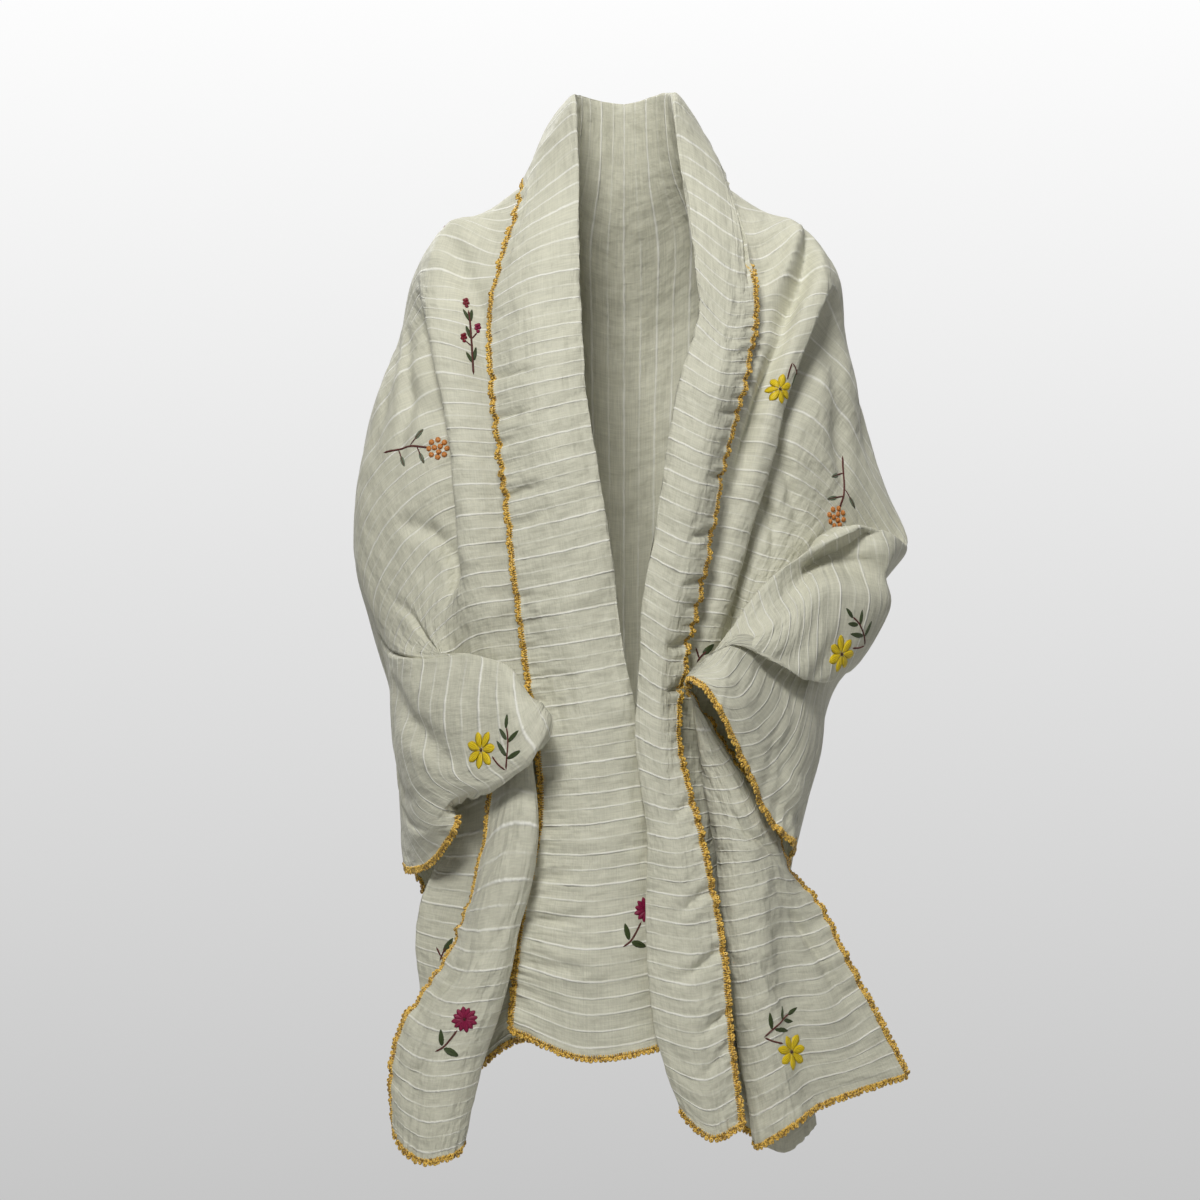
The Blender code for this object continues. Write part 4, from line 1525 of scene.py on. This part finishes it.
class Needle:
    """Collects every stitch by thread and joins each thread's work into one mesh.

    Every stitch is a padded strip: a ring of points at each place, and a point at each tip.
    """

    # The points over a strip, the heights of its sides and its underside in millimetres, and how
    # far its crown falls to its sides, as a share.
    WIDE = 5
    BASE = 0.35
    UNDER = 0.1
    FALL = 0.94

    def __init__(self) -> None:
        """Starts with nothing sewn."""
        self.work: dict[Thread, list[tuple[Array, list, Array]]] = {thread: [] for thread in Thread}

    def skin(self, thread: Thread, hoop: Hoop, spine: Array, widths: Array, rise: Array) -> None:
        """Sews one padded strip along a spine.

        Args:
            thread: The thread.
            hoop: Where the work lies.
            spine: Its middle line in the hoop, with both tips.
            widths: Half its width at each place between the tips.
            rise: Its height there.
        """
        run = unit(np.gradient(spine, axis=0))
        side = np.stack([-run[:, 1], run[:, 0]], axis=1)
        parts = np.linspace(-1, 1, self.WIDE)
        crown = np.sqrt(1 - self.FALL * parts**2)
        flat, lift, uvs = [spine[:1]], [[self.BASE]], [[[0.0, 0.5]]]
        for place in range(1, len(spine) - 1):
            over = side[place] * (parts * widths[place - 1])[:, None]
            flat += [spine[place] + over, spine[place : place + 1]]
            lift += [self.BASE + rise[place - 1] * crown, [self.UNDER]]
            part = place / (len(spine) - 1)
            uvs += [np.stack([np.full(self.WIDE, part), (parts + 1) / 2], axis=1), [[part, 0.5]]]
        flat.append(spine[-1:])
        lift.append([self.BASE])
        uvs.append([[1.0, 0.5]])
        points = hoop.lay(np.concatenate(flat), np.concatenate(lift))
        self.work[thread].append((points, self.rings(len(spine) - 2), np.concatenate(uvs)))

    def rings(self, count: int) -> list[tuple[int, ...]]:
        """The faces that join the rings, closed at both tips.

        Args:
            count: How many rings there are.

        Returns:
            Tuples of point numbers.
        """
        size = self.WIDE + 1
        last = 1 + (count - 1) * size
        faces = []
        for place, there in zip(range(size), [*range(1, size), 0]):
            faces.append((0, 1 + there, 1 + place))
            for start in range(1, last, size):
                faces.append((start + place, start + there, start + size + there, start + size + place))
            faces.append((last + place, last + there, last + size))
        return faces

    def leaf(self, hoop: Hoop, start: Pair, tip: Pair, width: float, thread: Thread = Thread.LEAF) -> None:
        """A leaf of two satin-stitched halves.

        Args:
            hoop: Where the work lies.
            start: Its root.
            tip: Its tip.
            width: Its full width.
            thread: The thread.
        """
        apart, half, least, rise = 0.23, 0.26, 0.12, 0.55
        run = np.subtract(tip, start)
        off = unit(np.array((-run[1], run[0]))) * width * apart
        parts = np.array([0.0, 0.14, 0.36, 0.6, 0.84, 1.0])
        shape = np.sin(math.pi * parts**0.85) ** 0.8
        for side in (-1, 1):
            spine = np.array(start) + parts[:, None] * run + side * off * shape[:, None]
            self.skin(thread, hoop, spine, shape[1:-1] * width * half + least, rise * shape[1:-1])

    def stem(self, hoop: Hoop, path: tuple[Pair, ...], width: float = 1.7) -> None:
        """A line of stem stitch.

        Args:
            hoop: Where the work lies.
            path: The points that it goes through.
            width: Its width.
        """
        length, rise = 3.0, 0.9
        given = np.array(path, float)
        knots = np.concatenate([[0.0], np.cumsum(np.linalg.norm(np.diff(given, axis=0), axis=1))])
        count = max(4, round(knots[-1] / length))
        half = np.full(count - 1, width / 2)
        spine = curve_at(knots, given, np.linspace(0, knots[-1], count + 1))
        self.skin(Thread.STEM, hoop, spine, half, half * rise)

    def knot(self, thread: Thread, hoop: Hoop, place: Pair, radius: float) -> None:
        """A French knot.

        Args:
            thread: The thread.
            hoop: Where the work lies.
            place: Its middle.
            radius: Its radius.
        """
        parts = np.array([-1, -0.7, 0.0, 0.7, 1])
        spine = np.array(place) + radius * parts[:, None] * np.array((0.0, 1.0))
        shape = radius * np.sqrt(1 - parts[1:-1] ** 2)
        self.skin(thread, hoop, spine, shape, 0.8 * shape)

    def flower(
        self, thread: Thread, hoop: Hoop, place: Pair, radius: float, petals: int, width: float, start: float
    ) -> None:
        """An open flower of satin-stitched petals round its heart.

        Args:
            thread: The petals' thread.
            hoop: Where the work lies.
            place: Its middle.
            radius: How far the petals reach.
            petals: How many there are.
            width: How wide each is.
            start: The first petal's angle, in degrees.
        """
        fullest, heart, uneven, rise = 0.6, 0.05, 0.05, 0.9
        parts = np.array([0.0, 0.10, 0.28, 0.5, 0.72, 0.90, 1.0])
        shape = np.sin(math.pi * parts[1:-1] ** (math.log(0.5) / math.log(fullest))) ** 0.75
        for index in range(petals):
            angle = math.radians(start + 360 * index / petals)
            reach = 1 + uneven * math.sin(index * 2.3)
            way = radius * np.array((math.cos(angle), math.sin(angle)))
            spine = np.array(place) + (heart + parts[:, None] * (reach - heart)) * way
            self.skin(thread, hoop, spine, shape * width / 2, rise * shape**0.5)
        self.knot(Thread.BROWN, hoop, place, radius * 0.10)

    def finish(self) -> None:
        """Joins each thread's work into one piece."""
        for thread, parts in self.work.items():
            starts = np.cumsum([0] + [len(points) for points, _, _ in parts]).tolist()
            owned = [(start, face) for start, (_, own, _) in zip(starts, parts) for face in own]
            faces = [tuple(start + corner for corner in face) for start, face in owned]
            points, uvs = (np.concatenate([part[which] for part in parts]) for which in (0, 2))
            mesh = mesh_of(thread.name.lower() + "_embroidery", points, faces, uvs)
            mesh.materials.append(thread.value.material())
            piece = link(mesh.name, mesh)
            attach(piece, "root")
            LOG.info("%s: %d faces", piece.name, len(faces))


@dataclass(frozen=True)
class Sprig:
    """One embroidered sprig: where it is and which way it grows.

    Args:
        along: Its root's place along the cloth, in millimetres.
        across: Its root's place across it.
        face: The face of the cloth that it is seen on.
        turn: How far it is turned from upright, in degrees counterclockwise.
        size: How large it is.
        mirrored: Whether left and right change places.
    """

    along: float
    across: float
    face: int = 1
    turn: float = 0.0
    size: float = 1.0
    mirrored: bool = False

    def hoop(self, grid: ClothGrid) -> Hoop:
        """The place where it is worked."""
        return Hoop(grid, self.along, self.across, self.face, self.turn, self.size, self.mirrored)


class YellowSprig(Sprig):
    """A yellow flower on a short stem beside a leafy twig."""

    def sew(self, needle: Needle, hoop: Hoop) -> None:
        """Sews it.

        Args:
            needle: What lays the stitches.
            hoop: The cloth round it.
        """
        needle.stem(hoop, ((0, 0), (-7, 4), (-17, 12)))
        needle.stem(hoop, ((0, 0), (1, 14), (-0.5, 30), (-3, 37)))
        for start, tip, width in (
            ((-3, 35), (-4.5, 48), 4.2),
            ((0, 24), (11, 35), 4.4),
            ((-1, 26), (-11, 35), 4.2),
            ((0.5, 12), (-13, 25), 4.6),
            ((1, 10), (16, 18), 4.6),
        ):
            needle.leaf(hoop, start, tip, width)
        needle.flower(Thread.YELLOW, hoop, (-30.5, 15.7), 17.0, 7, 8.6, 12)


class MagentaSprig(Sprig):
    """A small magenta daisy with two leaves at the foot of its stem."""

    def sew(self, needle: Needle, hoop: Hoop) -> None:
        """Sews it.

        Args:
            needle: What lays the stitches.
            hoop: The cloth round it.
        """
        needle.stem(hoop, ((0, 0), (7.7, 4), (15, 12), (21, 20)))
        needle.leaf(hoop, (7, 5), (5.5, 21), 5.0)
        needle.leaf(hoop, (8.5, 3.5), (22, -3), 6.2)
        needle.flower(Thread.MAGENTA, hoop, (27, 29), 11.6, 12, 4.9, 8)


class BerrySprig(Sprig):
    """A cluster of orange berries at the tip of a long twig with pale leaves."""

    def sew(self, needle: Needle, hoop: Hoop) -> None:
        """Sews it.

        Args:
            needle: What lays the stitches.
            hoop: The cloth round it.
        """
        needle.stem(hoop, ((3, 0), (1, 12), (-1, 26), (0, 46)))
        for start, tip, width in (
            ((0, 14), (15, 24), 3.8),
            ((-1, 27), (-15, 39), 3.8),
            ((-2, 33.5), (13, 42), 3.6),
        ):
            needle.stem(hoop, (start, tip), 1.2)
            foot = tuple(np.array(start) * 0.6 + np.array(tip) * 0.4)
            needle.leaf(hoop, foot, tip, width, Thread.PALE_LEAF)
        for count, radius, shift in ((3, 2.7, 20), (8, 7.0, 5)):
            for index in range(count):
                angle = math.radians(shift + 360 * index / count)
                place = (radius * math.cos(angle), 52 + radius * math.sin(angle))
                needle.knot(Thread.ORANGE, hoop, place, 2.3)


class BudSprig(Sprig):
    """Three red buds on a slender branch with narrow leaves."""

    def sew(self, needle: Needle, hoop: Hoop) -> None:
        """Sews it.

        Args:
            needle: What lays the stitches.
            hoop: The cloth round it.
        """
        needle.stem(hoop, ((0, 0), (2, 22), (3, 36), (4.5, 56)))
        needle.stem(hoop, ((2.6, 30), (8.5, 36)), 1.2)
        needle.stem(hoop, ((2.0, 24), (-2.5, 29)), 1.2)
        for x, y, high, thread in (
            (3.6, 62, 1.0, Thread.RED),
            (9.0, 39, 0.95, Thread.MAGENTA),
            (-3.2, 31, 0.9, Thread.RED),
        ):
            for over, up in ((0.0, -2.6), (-1.3, 0.0), (1.4, 0.6), (-0.8, 2.9), (1.2, 3.6)):
                needle.knot(thread, hoop, (x + over * high, y + up * high), 1.75 * high)
        for start, tip in (
            ((4, 45), (0.2, 57)),
            ((4.2, 45), (7.6, 57)),
            ((2.4, 30), (-0.2, 42)),
            ((2.2, 12), (5.6, 24)),
            ((1.2, 10), (-3.0, 20)),
        ):
            needle.leaf(hoop, start, tip, 3.0)


class LeafSprig(Sprig):
    """A bare twig with a leaf, the end of a sprig that a fold hides."""

    def sew(self, needle: Needle, hoop: Hoop) -> None:
        """Sews it.

        Args:
            needle: What lays the stitches.
            hoop: The cloth round it.
        """
        needle.stem(hoop, ((0, 0), (3, 6), (8, 13)))
        needle.stem(hoop, ((2, 4), (-3, 14)))
        needle.leaf(hoop, (4, 8), (15, 20), 6.0)


@dataclass(frozen=True)
class Softbox:
    """A square lamp that points at the shawl.

    Args:
        name: The lamp's name.
        place: Where it stands.
        size: Its side, in metres.
        power: Its power, in watts.
    """

    name: str
    place: Triple
    size: float
    power: float

    def build(self, aim: Vector) -> None:
        """Hangs the lamp.

        Args:
            aim: The place that it points at.
        """
        lamp = bpy.data.lights.new(self.name, "AREA")
        lamp.shape = "SQUARE"
        lamp.size = self.size
        lamp.energy = self.power
        made = link(self.name, lamp)
        made.location = self.place
        made.rotation_euler = (aim - Vector(self.place)).to_track_quat("-Z", "Y").to_euler()


@dataclass
class Studio:
    """The floor, the light, the pale background and the camera.

    Args:
        aim: What the camera and the lamps point at.
        distance: How far off the camera is.
        view_width: How much it takes in at that distance.
        sensor: Its sensor's width, in millimetres.
        clip: How far it sees.
        floor_level: The floor's height.
        floor_radius: The floor's radius.
        floor_sides: How many sides it has.
        floor_colour: The floor's colour.
        backdrop: The backdrop's stops, each a share of its height and a grey.
        backdrop_rise: How far up and down the backdrop's change goes, as a direction's z.
        ambient: The strength of the light from all round.
        lamps: The lamps.
    """

    aim: Triple = (-0.023, 0.0, -0.370)
    distance: float = 3.2
    view_width: float = 1.11
    sensor: float = 36.0
    clip: float = 50.0
    floor_level: float = -1.36
    floor_radius: float = 1.75
    floor_sides: int = 96
    floor_colour: Colour = (0.78, 0.78, 0.78)
    backdrop: tuple[Pair, ...] = ((0.0, 0.565), (0.5, 0.761), (1.0, 0.985))
    backdrop_rise: float = 0.171
    ambient: float = 0.065
    lamps: tuple[Softbox, ...] = (
        Softbox("Key", (-0.5, -2.4, 1.9), 0.9, 84.0),
        Softbox("Fill", (1.8, -2.4, 0.6), 1.6, 7.0),
        Softbox("Top", (0.3, 0.7, 2.0), 1.2, 14.0),
        Softbox("Back", (-1.6, 2.4, 1.5), 1.2, 31.0),
    )

    def floor(self) -> None:
        """A plain pale disc under the shawl."""
        turns = np.linspace(0, math.tau, self.floor_sides, endpoint=False)
        ring = [self.floor_radius * np.cos(turns), self.floor_radius * np.sin(turns)]
        points = np.stack([*ring, np.full(len(turns), self.floor_level)], axis=1)
        piece = link("floor", mesh_of("floor", points, [tuple(range(len(turns)))]))
        piece.data.materials.append(Finish("Studio floor", self.floor_colour, 0.8).material)

    def background(self) -> None:
        """A backdrop from pale grey below to white above, which gives no light of its own."""
        world = bpy.data.worlds.new("Studio")
        bpy.context.scene.world = world
        world.use_nodes = True
        world.node_tree.nodes.clear()
        maker = NodeMaker(world.node_tree)
        ray = maker.node("ShaderNodeTexCoord", {}, {}).outputs["Generated"]
        height = maker.node("ShaderNodeSeparateXYZ", {}, {0: ray}).outputs["Z"]
        ends = {"From Min": -self.backdrop_rise, "From Max": self.backdrop_rise}
        part = maker.made("ShaderNodeMapRange", {}, {"Value": height} | ends)
        stops = [(place, (level,) * 3) for place, level in self.backdrop]
        colour = maker.made("ShaderNodeValToRGB", {"stops": stops}, {"Fac": part})
        shown = maker.made("ShaderNodeBackground", {}, {"Color": colour})
        light = maker.made("ShaderNodeBackground", {}, {"Color": (1.0, 1.0, 1.0), "Strength": self.ambient})
        rays = maker.node("ShaderNodeLightPath", {}, {}).outputs
        seen = rays["Is Camera Ray"]
        for kind in ("Is Glossy Ray", "Is Transmission Ray"):
            seen = maker.made("ShaderNodeMath", {"operation": "MAXIMUM"}, {0: seen, 1: rays[kind]})
        mixed = maker.made("ShaderNodeMixShader", {}, {0: seen, 1: light, 2: shown})
        maker.node("ShaderNodeOutputWorld", {}, {"Surface": mixed})

    def camera(self) -> None:
        """A level camera in front of the shawl."""
        data = bpy.data.cameras.new("Camera")
        data.sensor_width = self.sensor
        data.lens = self.sensor * self.distance / self.view_width
        data.clip_end = self.clip
        made = link("Camera", data)
        made.location = Vector(self.aim) + Vector((0.0, -self.distance, 0.0))
        made.rotation_euler = (math.pi / 2, 0.0, 0.0)
        bpy.context.scene.camera = made

    def build(self) -> None:
        """Sets up the whole studio."""
        self.camera()
        self.floor()
        self.background()
        for lamp in self.lamps:
            lamp.build(Vector(self.aim))
        bpy.context.scene.view_settings.view_transform = "Standard"


# The cloth's two ends and its width, and where the pieces meet along it and across it.
RIGHT_END, LEFT_END, WIDTH = 945.0, 1015.0, 1000.0
BACK, RIGHT_WRIST, LEFT_WRIST = 175.0, 665.0, 630.0
COLLAR_CUT, PLEAT_CUT = 187.5, 410.0
# The gold thread's bright colour is its painted highlight and its dark colour its painted shade.
GOLD = CrochetThread("Gold thread", (0.96, 0.63, 0.115), (0.19, 0.09, 0.006))
CREASES = (
    # Gathers of the right collar at its gold edge, seen on its turned-out face.
    Crease(-327, -38, -335, 72, 3.2, -5.2),
    Crease(-374, -38, -369, 60, 3.2, -4.3, 3),
    Crease(-399, -38, -397, 78, 2.8, -3.8),
    Crease(-452, -38, -448, 66, 4.2, -5.5, -3),
    Crease(-477, -38, -470, 74, 4.2, -4.9, 4),
    Crease(-540, -38, -546, 58, 3.2, -3.8),
    Crease(-800, -38, -792, 62, 4.2, -4.1, 3),
    Crease(-842, -38, -830, 70, 4.2, -4.6, 4),
    Crease(-880, -38, -872, 88, 3.2, -4.1, 3),
    Crease(-915, -38, -905, 60, 3.2, -3.8),
    # The roll of the left collar over its own edge, and the gathers of it and its band.
    Crease(84, 15, 226, 13, 8, -7.5),
    Crease(292, -38, 300, 60, 3.2, -3.5),
    Crease(352, -38, 360, 66, 3.2, -3.8, -3),
    Crease(418, -38, 422, 58, 3.2, -4.3),
    Crease(470, -38, 480, 74, 4.2, -4.9, 3),
    Crease(512, -38, 520, 62, 3.2, -4.1),
    Crease(566, -38, 577, 82, 4.2, -5.5, -4),
    Crease(612, -38, 620, 70, 3.2, -4.3),
    Crease(720, -38, 735, 90, 4.2, -4.3, 4),
    Crease(800, -38, 822, 96, 5.2, -4.6, 5),
    Crease(858, -38, 884, 110, 5.2, -5.5, 6),
    Crease(905, -38, 925, 92, 4.2, -4.9, -5),
    Crease(948, -38, 962, 84, 4.2, -4.3, 4),
    # The fronts' shadowed valley between the collar and each pleat.
    Crease(-235, 312, -620, 306, 28, 11.0, 4),
    Crease(330, 312, 645, 306, 24, 9.0, -4),
    # The trough below the left shoulder and the ridge beside it.
    Crease(184, 392, 268, 316, 10, 15.0, -11),
    Crease(226, 330, 424, 319, 10, 14.0, -2),
    Crease(176, 374, 234, 298, 8, -7.0),
    # The softer trough below the right shoulder.
    Crease(-182, 372, -262, 302, 13, 6.0, 10),
    Crease(-225, 314, -400, 296, 12, 5.0, 2),
    # The right arm's drag lines into the elbow, and the turn over its forearm.
    Crease(-250, 500, -365, 575, 9, 5.0, 3),
    Crease(-405, 600, -520, 470, 9, 6.0, 8),
    Crease(-445, 660, -560, 560, 8, 4.0, -6),
    Crease(-300, 560, -380, 480, 12, 3.5, 6),
    Crease(-398, 741, -592, 738, 5, 4.5, 2),
    Crease(-470, 770, -566, 905, 15, 8.0, 8),
    Crease(-420, 800, -500, 930, 10, 4.0, -8),
    Crease(-400, 850, -470, 965, 9, 3.5, 5),
    # The left arm's folds into its roll, and the roll's hollow.
    Crease(250, 470, 350, 625, 13, 6.0, 10),
    Crease(300, 450, 430, 600, 9, 4.0, -8),
    Crease(370, 440, 455, 560, 8, 3.5, 6),
    Crease(350, 754, 440, 782, 9, 19.0),
    Crease(298, 664, 324, 782, 24, -7.0),
    Crease(304, 788, 392, 808, 15, 7.0),
    Crease(410, 830, 520, 868, 12, 3.5, 8),
    Crease(380, 845, 440, 880, 9, 3.0, -5),
    # The wrinkles of the left forearm's under layer.
    Crease(530, 944, 412, 936, 7, 4.5, 5),
    Crease(514, 958, 402, 952, 6, 4.0, -4),
    Crease(480, 973, 372, 962, 7, 4.0, 4),
    Crease(450, 990, 356, 978, 6, 3.5, -3),
    # The tails.
    Crease(822, 946, 952, 985, 7, 3.6, 5),
    Crease(800, 905, 890, 982, 8, 3.6, 6),
    Crease(866, 862, 930, 940, 8, 3.0, -5),
    Crease(720, 850, 800, 960, 9, 3.6, 6),
    Crease(-826, 990, -766, 905, 8, 3.6, 5),
    Crease(-772, 915, -735, 800, 9, 3.2, -5),
    Crease(-905, 985, -846, 870, 8, 3.0, 6),
    Crease(-720, 960, -700, 840, 8, 3.4, 5),
    # The back and the outer sides, which hang with a few long soft folds of their own.
    Crease(-150, 400, -40, 640, 16, 5.0, 12),
    Crease(135, 420, 62, 700, 15, 5.0, -12),
    Crease(-118, 700, -62, 940, 13, 4.0, 8),
    Crease(98, 750, 152, 970, 12, 4.0, -8),
    Crease(-232, 520, -330, 610, 12, 5.0, 8),
    Crease(-212, 690, -296, 880, 13, 5.0, -9),
    Crease(232, 560, 300, 650, 12, 5.0, 8),
    Crease(222, 700, 286, 860, 12, 4.5, -8),
)
# The left elbow's tip.
EASINGS = (Easing(311, 724, (28.0, 34.0), 34),)
STRETCHES = (
    Stretch(
        "collar",
        (-RIGHT_END, LEFT_END),
        (0.0, COLLAR_CUT),
        ("collar_nape", "collar_right", "collar_left", "band_right", "band_left"),
        (2.0, 0.1),
    ),
    Stretch("back", (-BACK, BACK), (COLLAR_CUT, WIDTH), ("back_yoke", "back_panel"), (0.38, 0.78)),
    Stretch(
        "front_cloth_right",
        (-RIGHT_END, -BACK),
        (COLLAR_CUT, PLEAT_CUT),
        ("front_right", "inner_right"),
        (0.79, 0.14),
    ),
    Stretch(
        "front_cloth_left",
        (BACK, LEFT_END),
        (COLLAR_CUT, PLEAT_CUT),
        ("front_left", "inner_left"),
        (0.85, 0.105),
    ),
    Stretch(
        "sleeve_right",
        (-RIGHT_WRIST, -BACK),
        (PLEAT_CUT, WIDTH),
        ("arm_right", "arm_hang_right", "forearm_right"),
        (0.5, 0.37),
    ),
    Stretch(
        "sleeve_left",
        (BACK, LEFT_WRIST),
        (PLEAT_CUT, WIDTH),
        ("arm_left", "arm_hang_left", "arm_hem_left", "forearm_left"),
        (0.5, 0.39),
        Bias((200.0, 380.0), (880.0, 925.0, 1000.0), 1.1),
    ),
    Stretch(
        "tail_cloth_right", (-RIGHT_END, -RIGHT_WRIST), (PLEAT_CUT, WIDTH), ("tail_right",), (0.28, 0.29)
    ),
    Stretch("tail_cloth_left", (LEFT_WRIST, LEFT_END), (PLEAT_CUT, WIDTH), ("tail_left",), (0.38, 0.25)),
)
SPRIGS = (
    BudSprig(-319, 320, 1, 4, 1.2),
    BerrySprig(-337, 582, 1, -88, 1.18),
    YellowSprig(-596, 944),
    MagentaSprig(-850, 897),
    MagentaSprig(-859, 104, -1, 8),
    YellowSprig(303, 347, 1, -148, 0.85, True),
    BerrySprig(317, 606, 1, 163, 1.2),
    YellowSprig(364, 853, 1, 44),
    LeafSprig(584, 317, 1, -10),
    YellowSprig(934, 841, 1, -55, 0.95, True),
    LeafSprig(-798, 585, -1, 10),
    # Sprigs that the wearer's back and sides carry.
    YellowSprig(-62, 372, 1, -20),
    BudSprig(88, 430, 1, 12, 1.15),
    MagentaSprig(64, 560, 1, 30),
    BerrySprig(-110, 560, 1, 160, 1.1),
    YellowSprig(-20, 770, 1, 40, 1.0, True),
    BudSprig(-128, 800, 1, -30, 1.15),
    BerrySprig(128, 790, 1, 95, 1.1),
    MagentaSprig(30, 930, 1, -15),
    MagentaSprig(-176, 450, 1, 60),
    YellowSprig(-262, 740, 1, 150),
    BudSprig(-330, 900, 1, 35, 1.15),
    MagentaSprig(178, 640, 1, 20, 1.0, True),
    BerrySprig(250, 760, 1, -140, 1.1),
    YellowSprig(-740, 560, 1, 20),
    BudSprig(760, 600, 1, 170, 1.15),
)
EDGINGS = (
    CrochetEdging(
        "collar_edging",
        Border.COLLAR,
        ("collar_edging_nape", "collar_edging_right", "collar_edging_left"),
        ((-RIGHT_END, LEFT_END),),
        (70.0, 214.0),
    ),
    CrochetEdging(
        "outer_edging",
        Border.OUTER,
        (
            "outer_edging_back",
            "outer_edging_right",
            "outer_edging_left",
            "tail_edging_right",
            "tail_edging_left",
        ),
        ((-RIGHT_END, -672), (-496, LEFT_END)),
    ),
    CrochetEdging("end_edging_of_right", Border.RIGHT_END, ("end_edging_right",), ((0, WIDTH),)),
    CrochetEdging("end_edging_of_left", Border.LEFT_END, ("end_edging_left",), ((0, 470), (756, WIDTH))),
)


def main() -> None:
    """Builds the shawl and its studio."""
    logging.basicConfig(level=logging.INFO, format="%(message)s")
    sides = {Side.RIGHT: RIGHT_FOLDS, Side.LEFT: LEFT_FOLDS}
    ends = (-RIGHT_END, LEFT_END)
    cloth = DrapedCloth(sides, COLLAR_BACK, BackHang(), Relief(CREASES, ends, WIDTH))
    grid = ClothGrid(cloth, ends, WIDTH, EASINGS)
    grid.measure([-RIGHT_WRIST, -BACK, 0.0, BACK, LEFT_WRIST], [COLLAR_CUT, PLEAT_CUT])
    ShawlCloth(grid, STRETCHES, SlubSilk().material()).build()
    gold = GOLD.material()
    for edging in EDGINGS:
        edging.build(grid, gold)
    needle = Needle()
    for sprig in SPRIGS:
        sprig.sew(needle, sprig.hoop(grid))
    needle.finish()
    Studio().build()


if __name__ == "__main__":
    main()
